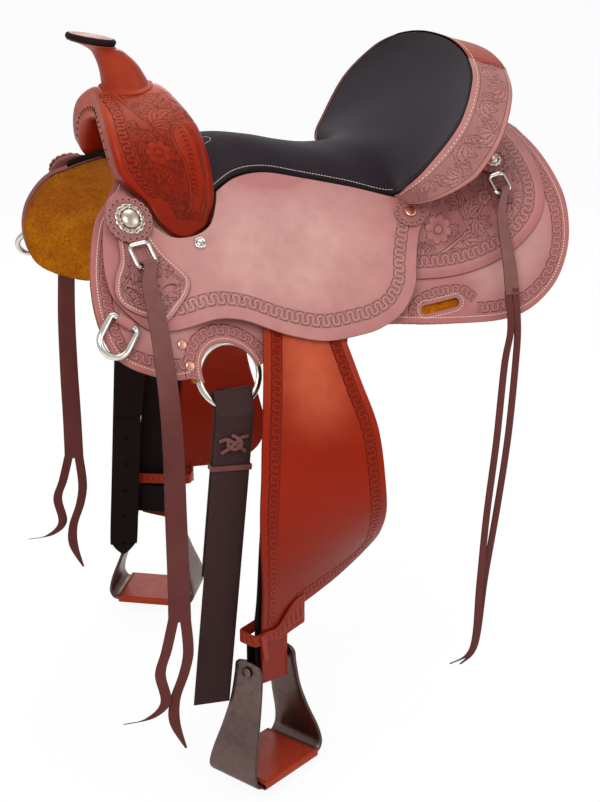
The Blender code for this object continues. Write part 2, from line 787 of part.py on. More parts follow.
SEAT_JOCKEY_OUTLINE = [
    (-290, 106), (-309, 132), (-321, 172), (-328, 209), (-328, 238), (-321, 256), (-302, 273), (-284, 281),
    (-259, 279), (-230, 270), (-201, 260), (-177, 257), (-155, 259), (-128, 267), (-103, 274), (-55, 282),
    (-6, 278), (23, 273), (55, 259), (80, 231), (92, 196), (108, 160), (131, 137), (124, 122), (92, 111),
    (35, 82), (-27, 59), (-75, 47), (-118, 58), (-150, 88), (-158, 109), (-175, 139), (-198, 154),
    (-226, 157), (-249, 148), (-267, 127), (-279, 104)]
REAR_JOCKEY_OUTLINE = [
    (292, 4), (294, 33), (300, 65), (303, 99), (303, 129), (299, 156), (288, 181), (270, 199), (244, 213),
    (215, 221), (179, 225), (138, 224), (92, 217), (62, 208), (62, 165), (92, 128), (130, 94), (172, 84),
    (204, 66), (228, 44), (240, 22), (243, 4)]
EAR_OUTLINE = [
    (-296, 128), (-303, 160), (-306, 200), (-317, 226), (-321, 247), (-314, 260), (-298, 266), (-284, 268),
    (-271, 272), (-258, 267), (-238, 245), (-224, 226), (-221, 210), (-232, 196), (-247, 180), (-262, 156),
    (-272, 130)]
EAR_SLOTS = ((-0.296, 0.241, 25), (-0.249, 0.226, -25))


def build_jockeys():
    for side, tag in SIDES:
        outline = rounded(SEAT_JOCKEY_OUTLINE, corners=(36, 29, 24))
        panel(f"seat_jockey_{tag}", outline, seat_jockey_lift, LEATHER, side, LOOKS["rose_leather"])
        outline = rounded(REAR_JOCKEY_OUTLINE, corners=(0, 13, 14, 21))
        panel(f"rear_jockey_{tag}", outline, rear_jockey_lift, LEATHER, side, LOOKS["rose_leather"])
        ear = panel(f"ear_plate_{tag}", rounded(EAR_OUTLINE, corners=(0, 16)), ear_lift, LEATHER, side,
                    LOOKS["rose_leather"])
        for k, (x, s, turn) in enumerate(EAR_SLOTS):
            frame = surface_frame(x, s, ear_lift, side) @ Matrix.Rotation(math.radians(turn) * side, 4, "Z")
            ring = [(0.011 * math.cos(a), 0.0042 * math.sin(a)) for a in (math.tau * n / 12 for n in range(12))]
            bm = loft(bmesh.new(), [[(px, py, z) for px, py in ring] for z in (-0.003, 0.008)])
            boolean(ear, add(f"ear_slot_{tag}_{k}", bm, None, where=frame, cutter=True))


# Rosettes, conchos and loops

def scalloped(diameter, lobes, points):
    """Outline of a rosette with a scalloped edge."""
    out = []
    for k in range(points):
        a = math.tau * k / points
        r = diameter / 2 * (1 - 0.035 * (1 + math.cos(lobes * a + math.pi)) / 2 * 2)
        out.append((r * math.cos(a), r * math.sin(a)))
    return out


def rosette(name, diameter, frame, thickness=0.0032, lobes=18):
    outline = scalloped(diameter, lobes, 2 * lobes)
    bm = loft(bmesh.new(), [[(x, y, z) for x, y in outline] for z in (0, thickness)])
    return add(name, bm, LOOKS["rose_leather"], where=frame)


def concho(name, diameter, frame, look, height):
    r = diameter / 2
    profile = [(0, 0), (r, 0), (r, 0.0012), (r * 0.7, 0.0026), (r * 0.5, height * 0.8),
               (r * 0.25, height * 0.97), (0, height)]
    return turned(name, profile, LOOKS[look], frame, steps=16)


ROSETTES = (
    ("front", -0.285, 0.1495, FRONT_ROSETTE, FRONT_CONCHO, ear_top, "silver", 0.0085),
    ("rear", 0.240, 0.094, REAR_ROSETTE, REAR_CONCHO, rear_jockey_top, "silver", 0.006),
    ("side", 0.100, 0.137, SIDE_ROSETTE, SIDE_CONCHO, seat_jockey_top, "copper", 0.004))
ROSETTE_THICKNESS = 0.0032
LOOPS = (("front", -0.279, 0.194, 0.0335, 0.037, ear_top, 14.0),
         ("rear", 0.234, 0.131, 0.028, 0.033, rear_jockey_top, 12.0))


def chape(label, side, flower):
    """Leather tab that comes out of a rosette and folds round the top bar of a string loop."""
    frame, width, height = loop_frame(label, side)
    thick = 0.0016
    bar = -(height - LOOP_WIRE) / 2
    reach = (LOOP_WIRE + thick) / 2 + 2 * GAP
    root = Vector((0, bar - 0.015, 0))
    level = ROSETTE_THICKNESS / 2 - (flower.matrix_world.inverted() @ frame @ root).z
    path = [(root.y, level), (bar - 0.007, level), (bar - 0.002, -reach)]
    path += [(bar + reach * math.cos(a), reach * math.sin(a))
             for a in (math.radians(d) for d in (-60, -20, 20, 60, 95))]
    half = width / 2 - LOOP_WIRE - 0.003
    rows = [[frame @ Vector((x, y, z)) for x in (-half, half)] for y, z in path]
    return to_cutter(ribbon(f"chape_{label}_{side}", rows, thick, None))


def build_rosettes():
    for side, tag in SIDES:
        for label, x, s, size, button, lift, look, height in ROSETTES:
            frame = rest_on(x, s, size / 2, lift, side)
            flower = rosette(f"rosette_{label}_{tag}", size, frame)
            if label != "side":
                boolean(flower, chape(label, side, flower), "UNION")
            up = frame @ Matrix.Translation((0, 0, ROSETTE_THICKNESS + GAP))
            concho(f"concho_{label}_{tag}", button, up, look, height)


LOOP_CLEAR = LOOP_WIRE / 2 + STRING_THICKNESS + 4 * GAP


def rounded_rectangle(width, height, radius, steps=2):
    out = []
    for cx, cy, start in ((width / 2, height / 2, 0), (-width / 2, height / 2, 90),
                          (-width / 2, -height / 2, 180), (width / 2, -height / 2, 270)):
        for k in range(steps + 1):
            a = math.radians(start + 90 * k / steps)
            ox = math.copysign(radius, cx)
            oy = math.copysign(radius, cy)
            out.append((cx - ox + radius * math.cos(a), cy - oy + radius * math.sin(a)))
    return out


def loop_frame(label, side):
    """Frame of a string loop: Y points down the loop, Z outward, origin at the loop's centre."""
    place = {row[0]: row for row in LOOPS}[label]
    _, x, s, width, height, lift, turn = place
    frame = rest_on(x, s, 0.022, lift, side, clearance=LOOP_CLEAR)
    return frame @ Matrix.Rotation(math.radians(-turn) * side, 4, "Z"), width, height


def build_loops():
    for side, tag in SIDES:
        for label in ("front", "rear"):
            frame, width, height = loop_frame(label, side)
            path = [(x, y, 0) for x, y in rounded_rectangle(width - LOOP_WIRE, height - LOOP_WIRE, 0.007)]
            tube(f"loop_{label}_{tag}", path, LOOP_WIRE / 2, LOOKS["silver"], frame)


# Saddle strings: a strap folded over the loop, split into two thongs

STRINGS = {
    "front": dict(width=(0.018, 0.030), rows=[(-289, 232), (-287, 268), (-285, 310), (-283, 360), (-280, 420),
                                               (-278, 500), (-276, 580), (-275, 648)],
                  left=[(-292, 690), (-302, 725), (-296, 765), (-318, 792), (-352, 806)],
                  right=[(-262, 690), (-268, 725), (-281, 765), (-282, 800), (-268, 836)]),
    "rear": dict(width=(0.013, 0.021), rows=[(224, 168), (219, 205), (215, 240), (211, 272)],
                 left=[(200, 310), (184, 350), (168, 440), (158, 540), (152, 640), (146, 735), (112, 750)],
                 right=[(212, 310), (205, 350), (190, 440), (178, 540), (164, 640), (153, 740), (132, 762)])}


def string_lift(label, x, s):
    """Height of a string: over the pieces that it crosses, then hanging free."""
    if label == "front":
        top = ear_top(x, s) if s < 0.29 else JOCKEY_FRONT + LEATHER
    else:
        top = rear_jockey_top(x, s)
    return top + LOOP_WIRE + 2 * STRING_THICKNESS + 6 * GAP


def build_strings():
    for side, tag in SIDES:
        for label, plan in STRINGS.items():
            frame, width, height = loop_frame(label, side)
            w0, w1 = plan["width"]
            bar = height / 2 - LOOP_WIRE / 2
            reach = LOOP_WIRE / 2 + STRING_THICKNESS / 2 + 3 * GAP
            rows = []
            for y, z in ((bar + 0.016, -reach), (bar + 0.003, -reach), (bar - reach * 0.8, -reach * 0.6),
                         (bar - reach, 0.0), (bar - reach * 0.7, reach * 0.7), (bar + 0.002, reach)):
                rows.append([frame @ Vector((x, y, z)) for x in (-w0 / 2, 0.0, w0 / 2)])
            if side == NEAR:
                rows = [row[::-1] for row in rows]
            count = len(plan["rows"])
            for k, (x, s) in enumerate(plan["rows"]):
                half = (w0 + (w1 - w0) * k / (count - 1)) / 2
                x, s = x / 1000, s / 1000
                lift = string_lift(label, x, s)
                rows.append([on_back(x + d, s, lift, side) for d in (-half, 0.0, half)])
            bm = bmesh.new()
            verts = [[bm.verts.new(p) for p in row] for row in rows]
            for a, b in zip(verts, verts[1:]):
                for k in range(2):
                    bm.faces.new((a[k], a[k + 1], b[k + 1], b[k]))
            x_last, s_last = plan["rows"][-1]
            for branch, (first, second), bend in (("left", (0, 1), 1), ("right", (1, 2), -1)):
                before = (verts[-1][first], verts[-1][second])
                branch_rows = plan[branch]
                for k, (x, s) in enumerate(branch_rows):
                    x, s = x / 1000, s / 1000
                    lift = string_lift(label, x, s) + bend * 0.0045 * min(1.0, (k + 1) / 2)
                    half = w1 / 4.2 if k < len(branch_rows) - 1 else 0.0014
                    now = [bm.verts.new(on_back(x + d, s, lift, side)) for d in (-half, half)]
                    bm.faces.new((before[0], before[1], now[1], now[0]))
                    before = now
            solidify(add(f"string_{label}_{tag}", bm, LOOKS["string"]), STRING_THICKNESS, 0.0)


# Front dees and their tabs

DEE_PLACE = (-0.3150, 0.2780)
DEE_TURN = math.radians(36.4)


def dee_frame(side):
    """Frame with its X along the dee's bar and Y toward its bow."""
    clear = DEE_WIRE / 2 + TAB_THICKNESS * 0.6 + 2 * GAP
    frame = rest_on(*DEE_PLACE, 0.034, skirt_top, side, clearance=clear)
    return frame @ Matrix.Rotation(DEE_TURN * side, 4, "Z")


def build_dees():
    for side, tag in SIDES:
        frame = dee_frame(side)
        half = (DEE_WIDTH - DEE_WIRE) / 2
        depth = DEE_LENGTH - DEE_WIRE
        corner = 0.006
        path = []
        for cx, start in ((half - corner, -90), (-half + corner, 180)):
            arc = [(cx + corner * math.cos(math.radians(start + 30 * k)),
                    corner + corner * math.sin(math.radians(start + 30 * k))) for k in range(4)]
            path.append(arc)
        bow = [(half * math.cos(math.radians(a)), depth - half + half * math.sin(math.radians(a)))
               for a in range(0, 181, 30)]
        outline = path[0] + bow + path[1]
        tube(f"dee_{tag}", [(x, y, 0) for x, y in outline], DEE_WIRE / 2, LOOKS["silver"], frame)
        thin = TAB_THICKNESS * 0.55
        reach = DEE_WIRE / 2 + thin / 2 + GAP
        profile = [(-0.030, -reach - 0.0015), (-0.012, -reach - 0.0002), (0.0, -reach), (reach * 0.8, -reach * 0.6),
                   (reach, 0.0), (reach * 0.7, reach * 0.7), (0.0, reach), (-0.0035, reach * 0.8)]
        wide = DEE_WIDTH / 2 - DEE_WIRE - 0.004
        rows = [[(x, y, z) for x in (-wide, wide)] for y, z in profile]
        ribbon(f"dee_tab_{tag}", rows, thin, LOOKS["rose_leather"], where=frame)


# Cinch rings, latigo and off billet

def ring_frame(side):
    """Frame at the ring's centre; the ring lies between skirt and fleece at the top of the arch."""
    drop = (RING_OUTER / 2) ** 2 / (2 * BACK_RADIUS)
    lift = SKIRT_LIFT - drop - RING_THICKNESS - 2 * GAP
    return surface_frame(*RING_PLACE, lambda x, s: lift, side)


def build_rings():
    outer = RING_OUTER / 2
    inner = outer - RING_BAND
    e = RING_THICKNESS * 0.22
    mid = RING_THICKNESS / 2
    profile = [(inner + e, 0), (outer - e, 0), (outer, mid), (outer - e, RING_THICKNESS),
               (inner + e, RING_THICKNESS), (inner, mid)]
    for side, tag in SIDES:
        bm = bmesh.new()
        count = 24
        rings = [[(r * math.cos(a), r * math.sin(a), z) for r, z in profile]
                 for a in (math.tau * k / count for k in range(count))]
        verts = [[bm.verts.new(p) for p in ring] for ring in rings]
        for k in range(count):
            a, b = verts[k], verts[(k + 1) % count]
            for m in range(6):
                bm.faces.new((a[m], a[(m + 1) % 6], b[(m + 1) % 6], b[m]))
        bmesh.ops.recalc_face_normals(bm, faces=bm.faces[:])
        add(f"cinch_ring_{tag}", bm, LOOKS["silver"], where=ring_frame(side))


def strap_over_ring(side, width, thickness, inner_length, length, lean):
    """Rows across a strap that is folded over the bottom of the ring and hangs down, leaning forward."""
    frame = ring_frame(side)
    mid = RING_THICKNESS / 2
    reach = RING_THICKNESS / 2 + thickness / 2 + RING_GAP
    inner = RING_OUTER / 2 - RING_BAND
    fold = math.sqrt(inner ** 2 - (width / 2) ** 2) - thickness / 2 - RING_GAP
    low = RING_OUTER / 2 + 0.006
    turn = [(low, mid - reach), (fold + 0.002, mid - reach), (fold - reach * 0.45, mid - reach * 0.75),
            (fold - reach * 0.8, mid), (fold - reach * 0.45, mid + reach * 0.75),
            (fold + 0.002, mid + reach), (low, mid + reach)]
    points = [frame @ Vector((0, y, z)) for y, z in turn]
    across = frame.to_3x3().col[0] * side
    shift = Vector((0, side * 0.0015, 0))
    down = Vector((-math.sin(lean), 0, -math.cos(lean)))
    level = Vector((across.x, across.y, 0))
    level = (level - level.dot(down) * down).normalized()
    inside = [points[0] + shift + d * down for d in (inner_length, 0.014)]
    outside = [points[-1] - shift + d * down for d in (0.014, length * 0.5, length)]
    rows = [(p, level) for p in inside] + [(p, across) for p in points] + [(p, level) for p in outside]
    return [[p + d * width / 2 * w for d in (-1, 1)] for p, w in rows]


def build_straps():
    rows = strap_over_ring(NEAR, LATIGO_WIDTH, LATIGO_THICKNESS, LATIGO_LENGTH * 0.54, LATIGO_LENGTH,
                            LATIGO_LEAN)
    ribbon("latigo", rows, LATIGO_THICKNESS, LOOKS["nylon"])
    # Keeper and lace knot that hold the two layers of the latigo together
    outer = (rows[-3][0] + rows[-3][1]) / 2
    inner = (rows[1][0] + rows[1][1]) / 2
    along = (rows[-3][1] - rows[-3][0]).normalized()
    down = (rows[-1][0] - rows[-3][0]).normalized()
    through = along.cross(down)
    middle = (outer + inner) / 2
    deep = abs((outer - inner).dot(through)) / 2 + LATIGO_THICKNESS / 2 + 2 * GAP
    wide = LATIGO_WIDTH / 2 + 3 * GAP
    band = 0.0022
    centre = middle + 0.070 * down
    rings = []
    corners = ((-1, -1), (1, -1), (1, 1), (-1, 1))
    bm = bmesh.new()
    for z in (-0.0035, 0.0035):
        for grow in (0.0, band):
            rings.append([bm.verts.new(centre + sx * (wide + grow) * along + sy * (deep + grow) * through
                                       - z * down) for sx, sy in corners])
    for a, b in ((0, 1), (1, 3), (3, 2), (2, 0)):
        for k in range(4):
            bm.faces.new((rings[a][k], rings[a][(k + 1) % 4], rings[b][(k + 1) % 4], rings[b][k]))
    bmesh.ops.recalc_face_normals(bm, faces=bm.faces[:])
    add("latigo_keeper", bm, LOOKS["string"])
    bm = bmesh.new()
    bmesh.ops.create_uvsphere(bm, u_segments=12, v_segments=8, radius=1.0)
    knot = outer + 0.040 * down - Vector((0, LATIGO_THICKNESS / 2 + 0.0036 + GAP, 0))
    bmesh.ops.scale(bm, vec=(0.014, 0.0036, 0.010), verts=bm.verts[:])
    bmesh.ops.translate(bm, vec=knot, verts=bm.verts[:])
    add("latigo_knot", bm, LOOKS["string"], smooth=True)
    rows = strap_over_ring(OFF, BILLET_WIDTH, LATIGO_THICKNESS * 1.3, BILLET_LENGTH * 0.45, BILLET_LENGTH,
                            BILLET_LEAN)
    a, b = rows[-1]
    tip = (a + b) / 2
    down = (tip - (rows[-2][0] + rows[-2][1]) / 2).normalized()
    for run, share in ((0.012, 0.84), (0.022, 0.48), (0.028, 0.16)):
        rows.append([tip + (p - tip) * share + run * down for p in (a, b)])
    ribbon("off_billet", rows, LATIGO_THICKNESS * 1.3, LOOKS["dark_leather"])


# Fender, stirrup leather, hobble strap and stirrup

FENDER_OUTLINE = [
    (-116, 172), (-124, 215), (-134, 262), (-142, 310), (-154, 400), (-160, 480), (-165, 556), (-168, 610),
    (-170, 650), (-171, 672), (-171, 734), (-119, 734), (-119, 676), (-115, 663), (-110, 650), (-98, 640),
    (-55, 629), (-14, 617), (18, 598), (32, 570), (27, 535), (15, 470), (7, 394), (-12, 331), (-25, 280),
    (-36, 230), (-46, 172)]
TURN_START = 0.46
TURN_END = 0.64
HANG_LINES = [TURN_START + 0.0165 * k for k in range(12)]
LEATHER_TOP = 0.150
LEATHER_LOW = 0.7125
LOOP_REACH = BOLT_RADIUS + 2 * GAP + STIRRUP_LEATHER / 2
LEATHER_MIDDLE = HANG_LIFT + STIRRUP_LEATHER / 2
HOBBLE_PLACE = 0.658


def leather_x(s):
    """Middle of the stirrup leather at a distance s down the side (pattern units)."""
    return -0.083 + (-0.146 + 0.083) * ramp(s, LEATHER_TOP, TURN_END)


def hanging(x, s, lift, side):
    """Point of a hanging piece: it is turned at the bottom, so that the stirrup faces the rider's foot."""
    p = on_back(x, s, lift, side)
    share = ramp(s, TURN_START, TURN_END)
    turn = Matrix.Rotation(STIRRUP_TURN * share * share * (3 - 2 * share) * -side, 3, "Z")
    centre = on_back(leather_x(s), s, LEATHER_MIDDLE, side)
    return centre + turn @ (p - centre)


def stirrup_frame(side):
    """X along the bolt, Z up, origin at the bolt's centre."""
    turn = Matrix.Rotation(STIRRUP_TURN * -side, 4, "Z")
    strap = on_back(leather_x(LEATHER_LOW), LEATHER_LOW, LEATHER_MIDDLE, side)
    return Matrix.Translation(strap) @ turn @ Matrix.Translation((0, -side * LOOP_REACH, 0))


def round_the_bolt(x, s, lift, side):
    """Point of the stirrup leather: down the outside, round the bolt and up again on the inside."""
    if s <= LEATHER_LOW:
        return hanging(x, s, lift, side)
    run = (s - LEATHER_LOW) * DEPTH_SCALE
    radius = LOOP_REACH + lift - LEATHER_MIDDLE
    arc = math.pi * LOOP_REACH
    a = min(run / LOOP_REACH, math.pi)
    across = (x - leather_x(LEATHER_LOW)) * LENGTH_SCALE
    local = (across, side * radius * math.cos(a), max(0.0, run - arc) - radius * math.sin(a))
    return stirrup_frame(side) @ Vector(local)


def build_fenders():
    for side, tag in SIDES:
        outline = rounded(FENDER_OUTLINE, corners=(0, 10, 11, 26), steps=1)
        panel(f"fender_{tag}", outline, lambda x, s: FENDER_LIFT + 0.003 * ramp(s, 0.40, TURN_START),
              FENDER_THICKNESS, side, LOOKS["orange_leather"], place=hanging, more_lines=HANG_LINES)


def build_leathers():
    arc = math.pi * LOOP_REACH / DEPTH_SCALE
    end = LEATHER_LOW + arc + 0.040 / DEPTH_SCALE
    half = STIRRUP_LEATHER_WIDTH / 2 / LENGTH_SCALE
    stops = [LEATHER_TOP, TURN_END, end]
    outline = [(leather_x(s) - half, s) for s in stops] + [(leather_x(s) + half, s) for s in stops[::-1]]
    lines = HANG_LINES + [LEATHER_LOW + arc * k / 8 for k in range(9)]
    for side, tag in SIDES:
        panel(f"stirrup_leather_{tag}", outline, lambda x, s: HANG_LIFT, STIRRUP_LEATHER, side,
              LOOKS["dark_leather"], place=round_the_bolt, more_lines=lines)


def build_hobbles():
    for side, tag in SIDES:
        s = HOBBLE_PLACE
        outer = FENDER_LIFT + 0.003 + FENDER_THICKNESS
        inner = HANG_LIFT - 2 * LOOP_REACH
        centre = hanging(leather_x(s), s, 0.5 * (inner + outer), side)
        frame = Matrix.Translation(centre) @ Matrix.Rotation(STIRRUP_TURN * -side, 4, "Z")
        deep = (outer - inner) / 2 + 0.0014
        wide = 0.049
        band = 0.0030
        bm = bmesh.new()
        base = rounded_rectangle(2 * wide, 2 * deep, min(deep, 0.006), steps=2)
        rings = []
        for grow, edge in ((0.0, 0), (0.0, 1), (band, 1), (band, 0)):
            ring = []
            for x, y in base:
                tall = 0.0085 + 0.0010 * ramp(x, -0.02, 0.045)
                ring.append(Vector((x + math.copysign(grow, x) + 0.0105, y + math.copysign(grow, y),
                                    0.05 * x + (tall if edge else -tall))))
            rings.append([bm.verts.new(p) for p in ring])
        n = len(base)
        for a, b in ((0, 1), (1, 2), (2, 3), (3, 0)):
            for k in range(n):
                bm.faces.new((rings[a][k], rings[a][(k + 1) % n], rings[b][(k + 1) % n], rings[b][k]))
        add(f"hobble_strap_{tag}", close_up(bm), LOOKS["orange_leather"], where=frame)


def build_stirrups():
    half = STIRRUP_TREAD_WIDTH / 2
    tall = STIRRUP_HEIGHT / 0.165
    deep = STIRRUP_TREAD_DEPTH
    top = STIRRUP_LEATHER_WIDTH / 2 + STIRRUP_PLATE / 2 + 0.0035
    side_path = [(top, 0.0155, 0.16), (top, 0.0140, 0.34), (top, 0.008, 0.50), (top, -0.010, 0.56),
                 (top + (half - top) * 0.18, -0.045, 0.62), (top + (half - top) * 0.5, -0.080, 0.74),
                 (top + (half - top) * 0.86, -0.112, 0.88), (half, -0.134, 0.97), (half - 0.003, -0.1445, 1.0),
                 (half - 0.011, -0.1495, 1.0)]
    for side, tag in SIDES:
        frame = stirrup_frame(side)
        rows = [[(x, -deep * w / 2, z * tall), (x, deep * w / 2, z * tall)] for x, z, w in side_path]
        rows += [[(-x, -deep * w / 2, z * tall), (-x, deep * w / 2, z * tall)] for x, z, w in side_path[::-1]]
        stirrup = ribbon(f"stirrup_{tag}", rows, STIRRUP_PLATE, LOOKS["aluminium"], where=frame)
        radius = BOLT_RADIUS + GAP
        ring = [(radius * math.cos(a), radius * math.sin(a)) for a in (math.tau * k / 20 for k in range(20))]
        bm = loft(bmesh.new(), [[(x, py, pz) for py, pz in ring] for x in (-half, half)])
        boolean(stirrup, add(f"bolt_hole_{tag}", bm, None, where=frame, cutter=True))
        reach = top + STIRRUP_PLATE / 2 + GAP
        head = BOLT_RADIUS * 1.9
        profile = [(0, -reach - 0.003), (head, -reach - 0.003), (head, -reach), (BOLT_RADIUS, -reach),
                   (BOLT_RADIUS, reach), (head, reach), (head, reach + 0.003), (0, reach + 0.003)]
        turned(f"stirrup_bolt_{tag}", profile, LOOKS["aluminium"],
               frame @ Matrix.Rotation(math.pi / 2, 4, "Y"), steps=20)
        low = -0.1495 * tall
        cover = 0.0030
        inner = STIRRUP_PLATE / 2 + GAP
        wide = half - 0.0135
        bm = bmesh.new()
        bmesh.ops.create_cube(bm, size=1.0)
        bmesh.ops.scale(bm, vec=(2 * wide, deep + 2 * (cover + GAP), 2 * (inner + cover)), verts=bm.verts[:])
        bmesh.ops.bevel(bm, geom=[e for e in bm.edges if abs(e.verts[0].co.x - e.verts[1].co.x) > 0.01],
                        offset=0.003, segments=2, affect="EDGES", profile=0.5)
        bmesh.ops.translate(bm, vec=(0, 0, low), verts=bm.verts[:])
        tread = add(f"tread_cover_{tag}", bm, LOOKS["orange_leather"], where=frame)
        bm = bmesh.new()
        bmesh.ops.create_cube(bm, size=1.0)
        bmesh.ops.scale(bm, vec=(3 * wide, deep + 2 * GAP, 2 * inner), verts=bm.verts[:])
        bmesh.ops.translate(bm, vec=(0, 0, low), verts=bm.verts[:])
        boolean(tread, add(f"tread_room_{tag}", bm, None, where=frame, cutter=True))


# Build

for old in list(bpy.data.objects):
    bpy.data.objects.remove(old)
SADDLE = bpy.data.collections.new("trail_saddle")
CUTTERS = bpy.data.collections.new("cutters")
bpy.context.scene.collection.children.link(SADDLE)
bpy.context.scene.collection.children.link(CUTTERS)
LOOKS = {
    "rose_leather": material("rose_leather", (0.50, 0.22, 0.18), 0.45),
    "orange_leather": material("orange_leather", (0.40, 0.085, 0.03), 0.42),
    "dark_leather": material("dark_leather", (0.035, 0.02, 0.02), 0.5),
    "suede": material("suede", (0.030, 0.022, 0.030), 0.95),
    "fleece": material("fleece", (0.60, 0.27, 0.03), 0.95),
    "string": material("string", (0.13, 0.035, 0.035), 0.5),
    "nylon": material("nylon", (0.055, 0.03, 0.03), 0.7),
    "wood": material("wood", (0.45, 0.30, 0.16), 0.7),
    "silver": material("silver", (0.75, 0.73, 0.70), 0.25, 1.0),
    "copper": material("copper", (0.72, 0.40, 0.30), 0.35, 1.0),
    "aluminium": material("aluminium", (0.45, 0.42, 0.41), 0.38, 1.0)}

build_skirts()
build_seat()
build_tree()
build_fork_cover()
build_horn()
build_cantle()
build_jockeys()
build_rosettes()
build_loops()
build_strings()
build_dees()
build_rings()
build_straps()
build_fenders()
build_leathers()
build_hobbles()
build_stirrups()
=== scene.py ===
import math

import bpy
import numpy as np
from mathutils import Matrix, Vector


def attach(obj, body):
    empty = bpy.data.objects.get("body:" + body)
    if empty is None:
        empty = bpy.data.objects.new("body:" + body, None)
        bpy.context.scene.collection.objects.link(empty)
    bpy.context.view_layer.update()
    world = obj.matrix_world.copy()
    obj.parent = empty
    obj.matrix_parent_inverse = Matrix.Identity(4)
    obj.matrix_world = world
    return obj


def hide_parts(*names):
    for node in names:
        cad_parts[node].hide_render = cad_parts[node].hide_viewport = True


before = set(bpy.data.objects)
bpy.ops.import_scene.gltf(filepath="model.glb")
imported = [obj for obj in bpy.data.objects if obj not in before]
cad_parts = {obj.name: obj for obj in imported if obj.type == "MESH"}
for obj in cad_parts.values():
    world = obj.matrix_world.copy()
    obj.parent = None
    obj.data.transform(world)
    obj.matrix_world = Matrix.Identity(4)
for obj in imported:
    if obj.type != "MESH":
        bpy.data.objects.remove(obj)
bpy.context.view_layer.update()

# Camera of the photo
PSI = math.radians(20.5)
TILT = math.radians(20.5)
MIDDLE = Vector((0.0, 0.0, -0.325))
DISTANCE = 2.4
FOCAL_PIXELS, PHOTO_HEIGHT, SENSOR = 1655.0, 802.0, 36.0
camera_data = bpy.data.cameras.new("camera")
camera_data.lens = FOCAL_PIXELS / PHOTO_HEIGHT * SENSOR
camera = bpy.data.objects.new("camera", camera_data)
away = Vector((-math.sin(PSI) * math.cos(TILT), -math.cos(PSI) * math.cos(TILT), math.sin(TILT)))
camera.location = MIDDLE + DISTANCE * away
camera.rotation_euler = (-away).to_track_quat("-Z", "Y").to_euler()
bpy.context.scene.collection.objects.link(camera)
bpy.context.scene.camera = camera

# Sides of the horse, and how high the leather layers lie over the form
NEAR, OFF = -1, 1
SIDES = ((NEAR, "near"), (OFF, "off"))
GAP = 0.0006
LEATHER = 0.004
SKIRT_LIFT = 0.0126
SKIRT_TOP = 0.0166
HANG_LIFT = 0.0206
FENDER_LIFT = 0.0246
BAR_LIFT = 0.0172
BAR_TOP = 0.0298
JOCKEY_FRONT = 0.0208
JOCKEY_MAIN = 0.0332
JOCKEY_TOP = 0.0368


# Materials

def rgb(r, g, b):
    return tuple(((c / 255.0 + 0.055) / 1.055) ** 2.4 if c > 10 else c / 255.0 / 12.92 for c in (r, g, b)) + (1.0,)


def dim(colour, share):
    return tuple(c * share for c in colour[:3]) + (1.0,)


class Look:
    """Small helper that wires one procedural material."""

    def __init__(self, name):
        self.mat = bpy.data.materials.new(name)
        self.mat.use_nodes = True
        self.tree = self.mat.node_tree
        self.shader = self.tree.nodes["Principled BSDF"]
        self.coords = self.node("ShaderNodeTexCoord").outputs["Object"]

    def node(self, kind, **values):
        n = self.tree.nodes.new(kind)
        for key, value in values.items():
            if key in n.inputs:
                self.put(n.inputs[key], value)
            else:
                setattr(n, key, value)
        return n

    def put(self, socket, value):
        if isinstance(value, bpy.types.NodeSocket):
            self.tree.links.new(value, socket)
        else:
            socket.default_value = value

    def noise(self, scale, detail=4.0, rough=0.55):
        n = self.node("ShaderNodeTexNoise", Scale=scale, Detail=detail, Roughness=rough)
        self.put(n.inputs["Vector"], self.coords)
        return n.outputs["Fac"]

    def cells(self, scale, feature="F1"):
        n = self.node("ShaderNodeTexVoronoi", feature=feature, Scale=scale)
        self.put(n.inputs["Vector"], self.coords)
        return n.outputs["Distance"]

    def attribute(self, name):
        return self.node("ShaderNodeAttribute", attribute_name=name).outputs["Fac"]

    def math(self, operation, a, b=0.0, clamp=False):
        n = self.node("ShaderNodeMath", operation=operation, use_clamp=clamp)
        self.put(n.inputs[0], a)
        self.put(n.inputs[1], b)
        return n.outputs[0]

    def span(self, value, low, high, to_low=0.0, to_high=1.0):
        n = self.node("ShaderNodeMapRange")
        for socket, v in zip(n.inputs[:5], (value, low, high, to_low, to_high)):
            self.put(socket, v)
        return n.outputs[0]

    def mix(self, share, a, b):
        n = self.node("ShaderNodeMix", data_type="RGBA")
        self.put(n.inputs["Factor"], share)
        self.put(n.inputs[6], a)
        self.put(n.inputs[7], b)
        return n.outputs[2]

    def over(self, colour, other, mask, amount):
        """Lays another colour over this one where the mask says."""
        return self.mix(self.math("MULTIPLY", mask, amount), colour, other)

    def bump(self, height, depth, strength=1.0, before=None):
        n = self.node("ShaderNodeBump", Strength=strength, Distance=depth)
        self.put(n.inputs["Height"], height)
        if before is not None:
            self.put(n.inputs["Normal"], before)
        return n.outputs["Normal"]

    def finish(self, **sockets):
        for key, value in sockets.items():
            self.put(self.shader.inputs[key.replace("_", " ")], value)
        return self.mat


